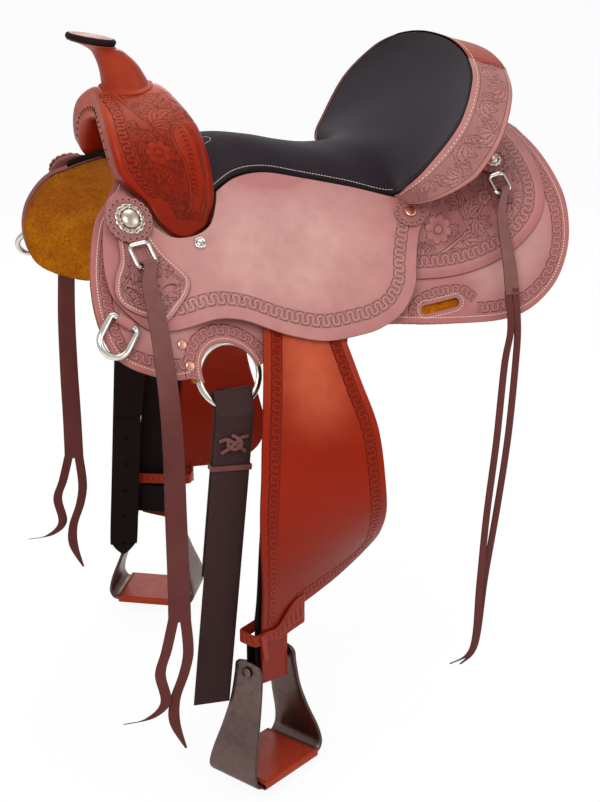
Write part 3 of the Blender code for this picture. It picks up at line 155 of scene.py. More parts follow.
def leather(name, light, main, deep, rough=0.42, shine=0.25, grain=1.0, gloss=0.30, tint=(1.0, 1.0, 1.0, 1.0)):
    """Oiled leather: tone runs from deep (-1) over main (0) to light (1), recess paints shade into the carved ground,
    its cuts, hollows and edges.
    """
    k = Look(name)
    patches = k.span(k.noise(14.0, 3.0), 0.35, 0.7)
    clouds = k.span(k.noise(55.0, 4.0), 0.3, 0.7)
    # tone holds the leather's own lighter and darker tones, and on the seat jockeys and fork cover also a painted
    # sheen and highlight
    colour = k.mix(k.attribute("tone"), main, light)
    colour = k.mix(k.math("MULTIPLY", k.attribute("tone"), -1.0, clamp=True), colour, deep)
    colour = k.over(colour, dim(main, 0.72), patches, 0.30)
    colour = k.over(colour, dim(main, 0.55), clouds, 0.14)
    colour = k.over(colour, light, k.span(k.noise(900.0, 3.0, 0.7), 0.4, 0.75), 0.05)
    # Painted shade: recess darkens the colour toward deep in carved ground, cuts, hollows and along edges
    recess = k.math("MULTIPLY", k.attribute("recess"), k.span(k.noise(260.0, 2.0), 0.2, 0.8, 0.8, 1.0), clamp=True)
    colour = k.mix(recess, colour, deep)
    pores = k.cells(1100.0)
    creases = k.noise(240.0, 5.0, 0.6)
    normal = k.bump(pores, 0.00010 * grain, 0.5)
    normal = k.bump(creases, 0.00035 * grain, 0.45, normal)
    roughness = k.math("ADD", k.span(k.noise(80.0, 3.0), 0.3, 0.7, rough - 0.06, rough + 0.08),
                       k.math("MULTIPLY", k.attribute("recess"), 0.12), clamp=True)
    return k.finish(Base_Color=colour, Roughness=roughness, Normal=normal, Coat_Weight=shine,
                    Coat_Roughness=0.32, Specular_IOR_Level=gloss, Specular_Tint=tint)


def cloth(name, light, dark, scale, depth, sheen=0.4, rough=0.95, patchy=0.35):
    k = Look(name)
    nap = k.noise(scale, 6.0, 0.75)
    soft = k.span(k.noise(18.0, 3.0), 0.3, 0.7)
    colour = k.mix(k.span(nap, 0.3, 0.75), dark, light)
    colour = k.over(colour, dark, soft, patchy)
    # Painted shade: recess darkens the seat's seam groove and side walls and the hollows between the wool's tufts
    colour = k.mix(k.attribute("recess"), colour, dim(dark, 0.35))
    normal = k.bump(nap, depth, 0.8)
    return k.finish(Base_Color=colour, Roughness=rough, Normal=normal, Sheen_Weight=sheen,
                    Sheen_Roughness=0.5, Specular_IOR_Level=0.10)


def metal(name, bright, dark, rough=0.2, brushed=False):
    k = Look(name)
    stains = k.span(k.noise(120.0, 4.0), 0.35, 0.75)
    colour = k.over(bright, dark, stains, 0.35)
    colour = k.mix(k.attribute("recess"), colour, dim(dark, 0.12))
    if brushed:
        stretch = k.node("ShaderNodeMapping", Scale=(60.0, 60.0, 900.0))
        k.put(stretch.inputs["Vector"], k.coords)
        lines = k.node("ShaderNodeTexNoise", Scale=1.0, Detail=3.0)
        k.put(lines.inputs["Vector"], stretch.outputs[0])
        normal = k.bump(lines.outputs["Fac"], 0.00012, 0.5)
        roughness = k.span(lines.outputs["Fac"], 0.3, 0.7, rough - 0.08, rough + 0.12)
    else:
        normal = k.bump(k.noise(400.0, 3.0), 0.00006, 0.4)
        roughness = k.span(k.noise(90.0, 3.0), 0.3, 0.7, rough - 0.06, rough + 0.10)
    return k.finish(Base_Color=colour, Metallic=1.0, Roughness=roughness, Normal=normal)


def webbing(name, light, dark):
    """Ribbed nylon: ribs run across the strap."""
    k = Look(name)
    wave = k.node("ShaderNodeTexWave", Scale=190.0, Distortion=0.3, bands_direction="Z", Detail=1.0)
    k.put(wave.inputs["Vector"], k.coords)
    threads = k.noise(1400.0, 2.0)
    share = k.math("MULTIPLY", wave.outputs["Fac"], k.span(threads, 0.3, 0.7, 0.6, 1.0))
    normal = k.bump(wave.outputs["Fac"], 0.0006, 0.8)
    normal = k.bump(threads, 0.0002, 0.5, normal)
    return k.finish(Base_Color=k.mix(share, dark, light), Roughness=0.72, Normal=normal, Specular_IOR_Level=0.15)


LOOKS = {
    "rose": leather("rose_leather", rgb(198, 150, 142), rgb(170, 100, 97), rgb(80, 36, 35), 0.44, 0.12),
    "orange": leather("orange_leather", rgb(196, 92, 62), rgb(140, 28, 6), rgb(48, 8, 4), 0.34, 0.03, 1.0, 0.26,
                      (1.0, 0.40, 0.30, 1.0)),
    "black": leather("black_leather", rgb(40, 28, 27), rgb(22, 12, 11), rgb(6, 4, 4), 0.55, 0.0, 1.0, 0.05),
    "string": leather("string_leather", rgb(150, 108, 102), rgb(78, 22, 21), rgb(22, 6, 6), 0.46, 0.0, 1.4, 0.16,
                      (1.0, 0.6, 0.55, 1.0)),
    "edge": leather("edge_leather", rgb(120, 62, 48), rgb(74, 32, 26), rgb(30, 12, 10), 0.5, 0.15),
    "suede": cloth("suede", rgb(52, 42, 50), rgb(26, 20, 27), 900.0, 0.00035, 0.12),
    "fleece": cloth("fleece", rgb(244, 160, 4), rgb(148, 66, 2), 240.0, 0.0014, 0.03, 0.95, 0.80),
    "thread": cloth("thread", rgb(238, 228, 214), rgb(196, 180, 160), 2200.0, 0.0002, 0.1, 0.7),
    "dark_thread": cloth("dark_thread", rgb(60, 46, 46), rgb(30, 22, 22), 2200.0, 0.0002, 0.1, 0.7),
    "nylon": webbing("nylon", rgb(84, 56, 55), rgb(34, 19, 19)),
    "silver": metal("silver", rgb(236, 232, 224), rgb(160, 152, 144), 0.16),
    "antique": metal("antique_silver", rgb(214, 200, 186), rgb(124, 104, 92), 0.28),
    "copper": metal("copper", rgb(226, 170, 146), rgb(168, 108, 84), 0.30),
    "aluminium": metal("aluminium", rgb(118, 98, 94), rgb(70, 55, 52), 0.34, True),
    "wood": leather("wood", rgb(120, 84, 60), rgb(84, 54, 38), rgb(50, 30, 20), 0.6, 0.0, 1.0, 0.1)}
SLOTS = {"rose": "rose_leather", "orange": "orange_leather", "black": "dark_leather", "string": "string",
         "suede": "suede", "fleece": "fleece", "nylon": "nylon", "silver": "silver", "antique": "silver",
         "copper": "copper", "aluminium": "aluminium"}


# Numeric helpers

def smooth(value, low, high):
    t = np.clip((np.asarray(value, float) - low) / (high - low), 0.0, 1.0)
    return t * t * (3 - 2 * t)


def hump(distance, width):
    """1 on a line and 0 away from it."""
    return np.exp(-(distance / width) ** 2)


def unit(vectors):
    return vectors / (np.linalg.norm(vectors, axis=-1)[..., None] + 1e-12)


def circle(count):
    """Angles evenly round a circle."""
    return np.linspace(0, math.tau, count + 1)[:-1]


def arc(cx, cy, radius, start, end, count):
    """Points on an arc between two angles in degrees."""
    a = np.radians(np.linspace(start, end, count))
    return np.column_stack([cx + radius * np.cos(a), cy + radius * np.sin(a)])


def cells(index):
    """Corners of each cell of a grid of vertex numbers."""
    return np.stack([index[:-1, :-1], index[1:, :-1], index[1:, 1:], index[:-1, 1:]], axis=-1)


def spline(p0, p1, p2, p3, t):
    """Catmull-Rom point between p1 and p2."""
    return 0.5 * (2 * p1 + (p2 - p0) * t + (2 * p0 - 5 * p1 + 4 * p2 - p3) * t * t
                  + (3 * p1 - p0 - 3 * p2 + p3) * t ** 3)


def curve(points, corners=(), steps=8, closed=True):
    """Smooth line through points in millimetres, as an array in metres."""
    pts = np.array(points, float) / 1000
    n = len(pts)
    out = []
    for i in range(n if closed else n - 1):
        p1, p2 = pts[i], pts[(i + 1) % n]
        p0 = pts[i - 1] if (closed or i) and i not in corners else p1
        p3 = pts[(i + 2) % n] if closed or i + 2 < n else p2
        if (i + 1) % n in corners:
            p3 = p2
        out += [spline(p0, p1, p2, p3, k / steps) for k in range(steps)]
    if not closed:
        out.append(pts[-1])
    return np.array(out)


def lengths(line):
    return np.concatenate(([0.0], np.cumsum(np.linalg.norm(np.diff(line, axis=0), axis=1))))


def resample(line, spacing, closed=False):
    line = np.vstack([line, line[:1]]) if closed else np.asarray(line)
    along = lengths(line)
    count = max(2, int(round(along[-1] / spacing)))
    at = np.linspace(0, along[-1], count + 1)
    if closed:
        at = at[:-1]
    return np.column_stack([np.interp(at, along, line[:, k]) for k in range(line.shape[1])])


def anticlockwise(loop):
    x, y = loop[:, 0], loop[:, 1]
    area = np.sum(x * np.roll(y, -1) - np.roll(x, -1) * y)
    return loop if area > 0 else loop[::-1]


def inward(line, closed=True, reach=3):
    """Unit normals to the left of the line, softened over a few points."""
    if closed:
        run = np.roll(line, -reach, axis=0) - np.roll(line, reach, axis=0)
    else:
        index = np.arange(len(line))
        run = line[np.minimum(index + reach, len(line) - 1)] - line[np.maximum(index - reach, 0)]
    run = unit(run)
    return np.column_stack([-run[:, 1], run[:, 0]])


def within(x, y, loop):
    inside = np.zeros(x.shape, bool)
    x0, y0 = loop[-1]
    for x1, y1 in loop:
        if y0 != y1:
            crossing = ((y0 > y) != (y1 > y)) & (x < (x1 - x0) * (y - y0) / (y1 - y0) + x0)
            inside ^= crossing
        x0, y0 = x1, y1
    return inside


def nearest(x, y, line, closed=False):
    """Distance to a line, distance along it, and the nearest point, for arrays of points."""
    line = np.vstack([line, line[:1]]) if closed else np.asarray(line)
    along = lengths(line)
    best = np.full(x.shape, 1e9)
    where = np.zeros(x.shape)
    px, py = np.zeros(x.shape), np.zeros(x.shape)
    for k in range(len(line) - 1):
        (ax, ay), (bx, by) = line[k], line[k + 1]
        dx, dy = bx - ax, by - ay
        size = dx * dx + dy * dy + 1e-18
        t = np.clip(((x - ax) * dx + (y - ay) * dy) / size, 0, 1)
        qx, qy = ax + t * dx, ay + t * dy
        d = (x - qx) ** 2 + (y - qy) ** 2
        closer = d < best
        best = np.where(closer, d, best)
        where = np.where(closer, along[k] + t * (along[k + 1] - along[k]), where)
        px, py = np.where(closer, qx, px), np.where(closer, qy, py)
    return np.sqrt(best), where, px, py


# Form of the horse's back, the same as in the parts but without facets

ARC = 0.369
START = math.radians(25.0)
FLAT, DROP = 0.04, 0.005
RISE = 0.55    # of the back toward both ends
PLUMB = FLAT + ARC * (math.pi / 2 - START)


def form(x, s, lift, side):
    x, s, lift = (np.asarray(v, float) for v in (x, s, lift))
    a = np.clip(START + (s - FLAT) / ARC, 0, math.pi / 2)
    y = FLAT + ARC * (np.sin(a) - math.sin(START))
    z = -DROP - ARC * (math.cos(START) - np.cos(a)) - np.maximum(0, s - PLUMB)
    near_spine = s < FLAT
    t = np.clip(s / FLAT, 0, 1)
    a = np.where(near_spine, START * t, a)
    y = np.where(near_spine, s, y)
    z = np.where(near_spine, -DROP * t * t, z)
    return np.stack([x, side * (y + lift * np.sin(a)), z + RISE * x * x + lift * np.cos(a)], axis=-1)


def over_bars(x, s):
    return (1 - smooth(s, 0.125, 0.180)) * (1 - smooth(x, 0.24, 0.30))


def skirt_lift(x, s):
    return SKIRT_LIFT + 0.0 * x


def rear_lift(x, s):
    return BAR_LIFT + (BAR_TOP - BAR_LIFT + GAP) * over_bars(x, s)


def jockey_lift(x, s):
    back = smooth(x, -0.24, -0.18)
    base = JOCKEY_FRONT + (JOCKEY_MAIN - JOCKEY_FRONT) * back
    top = BAR_TOP + GAP + (JOCKEY_TOP - BAR_TOP - GAP) * back
    return base + np.maximum(0, top - base) * over_bars(x, s)


def ear_lift(x, s):
    return jockey_lift(x, s) + LEATHER + GAP


def fender_lift(x, s):
    return FENDER_LIFT + 0.003 * smooth(s, 0.40, 0.46)


TURN_START, TURN_END = 0.46, 0.64
TURN = math.radians(30.0)
LEATHER_TOP, LEATHER_LOW = 0.150, 0.7125
STRAP_MIDDLE = HANG_LIFT + 0.0017
REACH = 0.004 + 2 * GAP + 0.0017


def leather_x(s):
    return -0.083 - 0.063 * np.clip((s - LEATHER_TOP) / (TURN_END - LEATHER_TOP), 0, 1)


def hanging(x, s, lift, side):
    p = form(x, s, lift, side)
    share = smooth(s, TURN_START, TURN_END)
    a = -side * TURN * share
    centre = form(leather_x(s), s, STRAP_MIDDLE + 0 * np.asarray(s), side)
    d = p - centre
    c, sn = np.cos(a), np.sin(a)
    return centre + np.stack([d[..., 0] * c - d[..., 1] * sn, d[..., 0] * sn + d[..., 1] * c, d[..., 2]], axis=-1)


def stirrup_frame(side):
    strap = Vector(hanging(leather_x(LEATHER_LOW), LEATHER_LOW, STRAP_MIDDLE, side))
    return (Matrix.Translation(strap) @ Matrix.Rotation(TURN * -side, 4, "Z")
            @ Matrix.Translation((0, -side * REACH, 0)))


# Pieces

class Piece:
    """Collects grids and loose faces of one visible piece."""

    def __init__(self):
        self.verts, self.faces, self.recess, self.tone, self.count = [], [], [], [], 0

    def add(self, verts, faces, recess=0.0, tone=0.0):
        verts = np.asarray(verts, float).reshape(-1, 3)
        n = len(verts)
        self.verts.append(verts)
        self.faces.append(np.asarray(faces, np.int64).reshape(-1, 4) + self.count)
        for values, new in ((self.recess, recess), (self.tone, tone)):
            values.append(np.broadcast_to(np.asarray(new, float).reshape(-1), (n,)))
        self.count += n

    def grid(self, points, recess=0.0, tone=0.0, flip=False, wrap=False):
        """points has shape (rows, columns, 3); wrap joins the last column to the first."""
        index = np.arange(points.shape[0] * points.shape[1]).reshape(points.shape[:2])
        if wrap:
            index = np.hstack([index, index[:, :1]])
        self.add(points, cells(index) if flip else cells(index)[..., [0, 3, 2, 1]], recess, tone)

    def cap(self, ring, recess, flip):
        """Closes the end of a tube of rings."""
        self.grid(np.stack([ring, np.broadcast_to(ring.mean(axis=0), ring.shape)]), recess, flip=flip, wrap=True)

    def build(self, name, look, body="saddle", slot=None, *nodes):
        verts = np.concatenate(self.verts)
        faces = np.concatenate(self.faces)
        mesh = bpy.data.meshes.new(name)
        three = faces[:, 2] == faces[:, 3]
        loops = np.concatenate([faces[~three].reshape(-1), faces[three][:, :3].reshape(-1)])
        sizes = np.concatenate([np.full((~three).sum(), 4), np.full(three.sum(), 3)])
        mesh.vertices.add(len(verts))
        mesh.vertices.foreach_set("co", verts.astype(np.float32).ravel())
        mesh.loops.add(len(loops))
        mesh.loops.foreach_set("vertex_index", loops.astype(np.int32))
        mesh.polygons.add(len(sizes))
        mesh.polygons.foreach_set("loop_start", np.concatenate(([0], np.cumsum(sizes)[:-1])).astype(np.int32))
        mesh.update(calc_edges=True)
        mesh.validate()
        mesh.polygons.foreach_set("use_smooth", np.ones(len(mesh.polygons), bool))
        for key, parts in (("recess", self.recess), ("tone", self.tone)):
            layer = mesh.attributes.new(key, "FLOAT", "POINT")
            layer.data.foreach_set("value", np.concatenate(parts).astype(np.float32))
        mesh.materials.append(LOOKS[look])
        obj = bpy.data.objects.new(name, mesh)
        bpy.context.scene.collection.objects.link(obj)
        slot = slot or SLOTS[look]
        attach(obj, body)
        if nodes:
            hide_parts(*nodes)
        return obj

    def stand(self, node, look, body="saddle"):
        """Builds the piece that stands for one node of the parts."""
        return self.build(f"{node}_v", look, body, None, node)


def normals(points, wrap=False):
    """Unit normals of a grid of points."""
    across = (np.roll(points, -1, axis=1) - np.roll(points, 1, axis=1)) / 2 if wrap else np.gradient(points, axis=1)
    return unit(np.cross(np.gradient(points, axis=0), across))


def laid(place, lift, side, x, s, height=0.0):
    return place(x, s, lift(x, s) + height, side)


def panel(piece, outline, lift, side, thick=LEATHER, step=0.0026, relief=None, place=form, holes=(), tone=None):
    """Leather cut to an outline, with rounded edges, laid over the form."""
    loop = anticlockwise(resample(outline, 0.0018, closed=True))
    rims = [anticlockwise(resample(hole, 0.0012, closed=True)) for hole in holes]
    flip = side == NEAR
    tone = tone or (lambda x, s, d: 0.0 * x)
    margin = 0.0022
    profile = ((2.2, thick), (1.4, thick), (0.8, thick - 0.00012), (0.35, thick - 0.0004), (0.05, thick - 0.0010),
               (0.0, thick * 0.5), (0.05, 0.0008), (0.5, 0.0001), (2.2, 0.0))
    for edge, sign, reach, scale in [(loop, 1, 3, 0.001)] + [(rim, -1, 1, 0.0005) for rim in rims]:
        normal = sign * inward(edge, reach=reach)
        rows, shades, tones = [], [], []
        for d, h in profile:
            x, s = (edge + normal * d * scale).T
            dip, dark = relief(x, s, np.full(x.shape, d * scale)) if relief and h == thick else (0.0, 0.0)
            rows.append(laid(place, lift, side, x, s, h + dip))
            # Painted shade on the rounded edge wall, together with the carved relief's own painted shade
            shades.append(np.maximum(0.55 if 0 < h < thick - 0.0003 else 0.0, dark) + 0 * x)
            tones.append(tone(x, s, d * scale + 0 * x))
        piece.grid(np.stack(rows), np.stack(shades), np.stack(tones), flip=(sign == 1) == flip, wrap=True)
    low, high = loop.min(axis=0), loop.max(axis=0)
    gx, gs = np.meshgrid(*(np.arange(low[k] - step, high[k] + 2 * step, step) for k in (0, 1)), indexing="ij")
    coarse = resample(loop + inward(loop) * margin, 0.004, closed=True)
    dist, _, px, py = nearest(gx, gs, coarse, closed=True)
    inside = within(gx, gs, coarse)
    for rim in rims:
        rim = rim - inward(rim, reach=1) * margin / 2
        d2, _, qx, qy = nearest(gx, gs, rim, closed=True)
        px, py = np.where(d2 < dist, qx, px), np.where(d2 < dist, qy, py)
        dist = np.minimum(dist, d2)
        inside &= ~within(gx, gs, rim)
    keep = inside[:-1, :-1] | inside[1:, :-1] | inside[:-1, 1:] | inside[1:, 1:]
    quads = cells(np.arange(gx.size).reshape(gx.shape))[keep]
    used = np.unique(quads)
    again = np.full(gx.size, -1)
    again[used] = np.arange(len(used))
    quads = again[quads]
    x, s, d = (np.where(inside, a, b).ravel()[used] for a, b in ((gx, px), (gs, py), (dist, 0.0)))
    d = d + margin
    dip, dark = relief(x, s, d) if relief else (0.0 * x, 0.0 * x)
    shade = tone(x, s, d)
    piece.add(laid(place, lift, side, x, s, thick + dip), quads[:, ::-1] if flip else quads, dark, shade)
    # The underside is darkened a little: painted shade under the piece
    piece.add(laid(place, lift, side, x, s, 0.0 * x), quads if flip else quads[:, ::-1], 0.2, shade)


# Stamped serpentine border

def serpentine(bend=math.radians(104)):
    """One period of a meandering line: along 0 to 1, across -1 to 1."""
    angle = bend * np.cos(math.tau * np.linspace(0, 1, 41))
    middle = (angle[:-1] + angle[1:]) / 2
    x, y = (np.concatenate(([0], np.cumsum(part))) for part in (np.cos(middle), np.sin(middle)))
    return np.column_stack([x / x[-1], (y - y.min()) / (y.max() - y.min()) * 2 - 1])


WAVE = serpentine()


def stamp(u, v, period, width):
    """Relief (0 low, 1 high) and painted shade in the cuts of the border; u runs along in metres, v across from -1 to
    1.
    """
    from_edge = (1 - np.abs(v)) * width / 2
    line = WAVE * (period, width / 2 * 0.66)
    three = np.vstack([line[:-1] - (period, 0), line[:-1], line + (period, 0)])
    d, _, _, _ = nearest(np.mod(u, period), v * width / 2, three)
    ridge = width * 0.085
    height = np.maximum(1 - smooth(d, ridge, ridge + 0.0007), 0.75 * smooth(d, ridge + 0.0014, ridge + 0.0034))
    edge_line = hump(from_edge - 0.08 * width / 2, 0.0006)
    height = np.minimum(height, 1 - edge_line) * smooth(from_edge, 0.0, 0.0006)
    return height, np.clip(0.95 * hump(d - ridge - 0.0008, 0.0007) + 0.8 * edge_line, 0, 1)


def border(piece, line, lift, side, start, width, period, place=form, thick=LEATHER, tone=0.15, hand=-1):
    """Stamped band beside a line, at a distance from it; hand is -1 for its right side and 1 for its left."""
    line = resample(line, 0.0010)
    left = hand * inward(line, closed=False, reach=8)
    u = lengths(line + left * (start + width / 2))
    period = u[-1] / max(1, round(u[-1] / period))
    v = np.linspace(-1, 1, max(9, int(width / 0.0010)))
    uu, vv = np.meshgrid(u, v, indexing="ij")
    high, dark = stamp(uu, vv, period, width)
    offset = start + (vv + 1) / 2 * width
    x = line[:, :1] + left[:, :1] * offset
    s = line[:, 1:] + left[:, 1:] * offset
    points = laid(place, lift, side, x, s, thick + 0.00006 + 0.0007 * high)
    piece.grid(points, dark, tone, flip=(side == OFF) == (hand == 1))


# Stitches

def capsule(sides=6):
    ring = arc(0, 0, 1, 0, 360, sides + 1)[:-1]
    rows = [np.column_stack([np.full(sides, x), r * ring])
            for x, r in ((-1.0, 0.15), (-0.8, 0.75), (0.0, 1.0), (0.8, 0.75), (1.0, 0.15))]
    index = np.arange(5 * sides).reshape(5, sides)
    return np.vstack(rows), cells(np.hstack([index, index[:, :1]])).reshape(-1, 4)


CAPSULE, CAPSULE_FACES = capsule()


def sew(piece, points, along, out, length=0.0025, width=0.00085):
    """Thread stitches at points, with directions along and out of the surface."""
    along = unit(along)
    out = unit(out - along * np.sum(out * along, axis=1)[:, None])
    axes = np.stack([along, np.cross(out, along), out], axis=1)
    verts = points[:, None] + CAPSULE * (length / 2, width, width) @ axes
    faces = CAPSULE_FACES[None] + (np.arange(len(points)) * len(CAPSULE))[:, None, None]
    piece.add(verts, faces)


def stitch_line(piece, line, lift, side, offset, pitch=0.0036, place=form, height=LEATHER + 0.0002, hand=-1, **shape):
    """Stitches along a pattern line, offset to its right (hand -1) or left (hand 1)."""
    line = resample(line, 0.0010)
    line = resample(line + hand * inward(line, closed=False, reach=6) * offset, pitch)
    x, s = line.T
    dx, ds = unit(np.gradient(line, axis=0)).T * 0.001
    here, ahead, aside = (laid(place, lift, side, x + a, s + b, height) for a, b in ((0, 0), (dx, ds), (-ds, dx)))
    sew(piece, here, ahead - here, np.cross(ahead - here, aside - here) * side, **shape)


# Floral carving in the western tradition: flowers, leaves and scrolling stems

def flower(cx, cy, radius, petals=5, turn=0.0):
    def cut(x, y, h):
        dx, dy = x - cx, y - cy
        r = np.hypot(dx, dy)
        a = np.arctan2(dy, dx) + turn
        lobe = np.abs(np.cos(petals / 2 * a)) ** 0.55
        b = radius * (0.62 + 0.38 * lobe) * (1 + 0.03 * np.cos(petals * 5 * a)) - r
        heart = radius * 0.26
        top = (0.55 + 0.45 * smooth(r / radius, 0.3, 0.95)
               - 0.30 * (1 - smooth(np.abs(np.sin(petals / 2 * (a + math.pi / petals))), 0, 0.16))
               - 0.22 * np.maximum(0, np.cos(petals * 4 * a)) ** 4 * smooth(r / radius, 0.25, 0.5))
        dots = 0.5 + 0.5 * np.cos(dx / heart * 7) * np.cos(dy / heart * 7)
        top = np.where(r < heart, 0.7 + 0.4 * dots, top) - 0.8 * hump(r - heart * 1.15, 0.0006)
        return np.where(b > -0.0009, np.clip(b / 0.0008, 0, 1) * top, h)
    return cut


def leaf(start, tip, width, bend=0.3, lobes=5):
    a, b = np.array(start, float), np.array(tip, float)
    run = b - a
    middle = (a + b) / 2 + bend * np.array([-run[1], run[0]])
    t = np.linspace(0, 1, 11)[:, None]
    line = (1 - t) ** 2 * a + 2 * t * (1 - t) * middle + t * t * b
    total = lengths(line)[-1]

    def cut(x, y, h):
        if not (np.hypot(x - middle[0], y - middle[1]) < total).any():
            return h
        d, u, _, _ = nearest(x, y, line)
        t = u / total
        wide = width * np.sin(math.pi * np.clip(t, 0, 1) ** 0.75) ** 0.7
        wide = wide * (0.80 + 0.20 * np.abs(np.sin(lobes * math.pi * t)))
        top = (0.60 + 0.40 * np.clip(d / (wide + 1e-6), 0, 1) - 0.55 * hump(d, 0.00055)
               - 0.30 * (0.5 + 0.5 * np.cos(math.tau * (t * lobes * 1.4 - d / width * 0.9))) ** 3)
        edge = wide - d
        return np.where((edge > -0.0008) & (t > 0.01) & (t < 0.995), np.clip(edge / 0.0007, 0, 1) * top, h)
    return cut


def stem(points, width=0.0015):
    line = resample(curve(points, closed=False, steps=6), 0.003)
    total = lengths(line)[-1]

    def cut(x, y, h):
        d, u, _, _ = nearest(x, y, line)
        edge = width * (1 - 0.45 * u / total) - d
        return np.where(edge > -0.0009, np.clip(edge / 0.0007, 0, 1) * 0.95, h)
    return cut


def scroll(cx, cy, radius, turns=1.4, start=0.0, hand=1):
    """Curling stem that ends in a small bud."""
    t = np.linspace(0, 1, 22)
    r = radius * (1 - 0.82 * t)
    a = start + hand * t * turns * 2 * math.pi
    points = np.column_stack([cx + r * np.cos(a), cy + r * np.sin(a)]) * 1000
    return [stem(points, 0.0013), flower(cx, cy, radius * 0.30, 5)]


def spray(x, y, angle, size, hand=1, leaves=4, width=0.19):
    """Leaves that fan out from one point and curl the same way; millimetres and degrees."""
    out = []
    for share in np.linspace(1, 0, leaves):
        a = math.radians(angle + hand * (95 * share - 40))
        reach = size * (1.0 - 0.55 * abs(share - 0.3)) / 1000
        start = np.array((x, y)) / 1000
        out.append(leaf(start, start + (reach * math.cos(a), reach * math.sin(a)), reach * width, -0.34 * hand, 4))
    return out


def sprays(rows):
    return [motif for row in rows for motif in spray(*row)]


def carve(x, y, motifs, depth=0.0008):
    """Height change (down to -depth) and painted shade of a carved ground with its motifs: the lower, the darker."""
    h = 0.52 + 0.10 * np.sin(x * 5200) * np.sin(y * 5200)
    for motif in motifs:
        h = motif(x, y, h)
    h = np.clip(h, 0, 1)
    return (h - 1) * depth, np.clip(0.85 - 1.10 * h, 0, 1)


# Skirts and fleece

SKIRT_FRONT = [(-258, 6), (-272, 50), (-299, 106), (-324, 148), (-341, 201), (-348, 242), (-347, 280), (-336, 314),
               (-318, 329), (-290, 335), (-258, 336), (-236, 331)]
SKIRT_REAR = [(-128, 300), (-90, 268), (-40, 260), (46, 266), (107, 278), (146, 286), (195, 296), (229, 298),
              (258, 291), (285, 275), (305, 250), (318, 219), (325, 178), (323, 137), (317, 92), (308, 47), (302, 6)]
RING_AT = np.array((-0.183, 0.320))
SLOT_AT = np.array((0.118, 0.2575))


def skirt_lines(arch_radius):
    """Front edge, arch round the cinch ring and rear edge."""
    front, rear = (line[np.linalg.norm(line - RING_AT, axis=1) > arch_radius + 0.003]
                   for line in (curve(SKIRT_FRONT, closed=False), curve(SKIRT_REAR, closed=False)))
    return front, RING_AT + arc(0, 0, arch_radius, 202, 16, 40) * (1, -1), rear


def slot_outline(grow=0.0, length=0.054, height=0.011):
    right = arc((length - height) / 2, 0, height / 2 + grow, -90, 90, 12)
    return SLOT_AT + np.vstack([right, -right])


def edge_tone(x, s, d):
    """Lighter in the middle of a piece, redder toward its edge."""
    return 0.9 * smooth(d, 0.004, 0.060)


def fluff(x, s):
    """Uneven tufts of wool, about -1 to 1."""
    a = np.sin(x * 520 + 3 * np.sin(s * 310 + 40 * x)) * np.sin(s * 560 + 3 * np.sin(x * 270))
    b = np.sin(x * 1150 + 4 * np.sin(s * 700)) * np.sin(s * 1230 + 3 * np.sin(x * 640))
    return 0.6 * a + 0.4 * b


def tufts(x, s, d):
    # Painted shade in the low hollows between the tufts
    h = 0.7 * fluff(x, s)
    return 0.0004 * h, np.clip(-0.35 * h, 0, 1)


def pile(x, s):
    return 0.0013 * fluff(x, s) - 0.0006


FLEECE = 0.0112
SEAM_IN, BORDER_IN = 0.0075, 0.0105    # stitches and stamped band, from the edge of the skirt
HOOD = [(70, 262), (76, 246), (92, 236), (118, 232), (146, 235), (162, 243), (172, 256)]
for side, tag in SIDES:
    front, arch, rear = skirt_lines(0.038)
    x_rear = rear[:, 0]
    skirt = Piece()
    panel(skirt, np.vstack([front, arch, rear]), skirt_lift, side, holes=[slot_outline()], tone=edge_tone)
    for line, start, period in ((front[16:], BORDER_IN, 0.0155), (arch[2:-2], 0.0085, 0.0150),
                                (rear[x_rear > 0.158][:-6], BORDER_IN, 0.0150),
                                (rear[(x_rear > 0.0) & (x_rear < 0.070)], BORDER_IN, 0.0150)):
        border(skirt, line, skirt_lift, side, start, 0.0150, period)
    border(skirt, curve(HOOD, closed=False), skirt_lift, side, 0.0, 0.0135, 0.0145, hand=1)
    skirt.stand(f"skirt_{tag}", "rose")
    thread = Piece()
    swept = x_rear < -0.030    # the stirrup leather swings over these stitches, so they lie flush
    ring = slot_outline(0.0055)
    stitch_line(thread, front[2:], skirt_lift, side, SEAM_IN)
    stitch_line(thread, arch, skirt_lift, side, 0.0048)
    stitch_line(thread, rear[swept], skirt_lift, side, SEAM_IN, height=LEATHER - 0.0004)
    stitch_line(thread, rear[~swept], skirt_lift, side, SEAM_IN)
    stitch_line(thread, np.vstack([ring, ring[:2]]), skirt_lift, side, 0.0)
    thread.build(f"stitches_skirt_{tag}", "thread", slot="rose_leather")

    loop = anticlockwise(resample(np.vstack(skirt_lines(0.048)), 0.003, closed=True))
    loop = loop + inward(loop) * 0.002
    loop[:, 1] = np.maximum(loop[:, 1], 0.004)
    wool = Piece()
    panel(wool, loop, pile, side, thick=FLEECE, step=0.0024, relief=tufts)
    wool.stand(f"fleece_{tag}", "fleece")

# Jockeys and ear plates

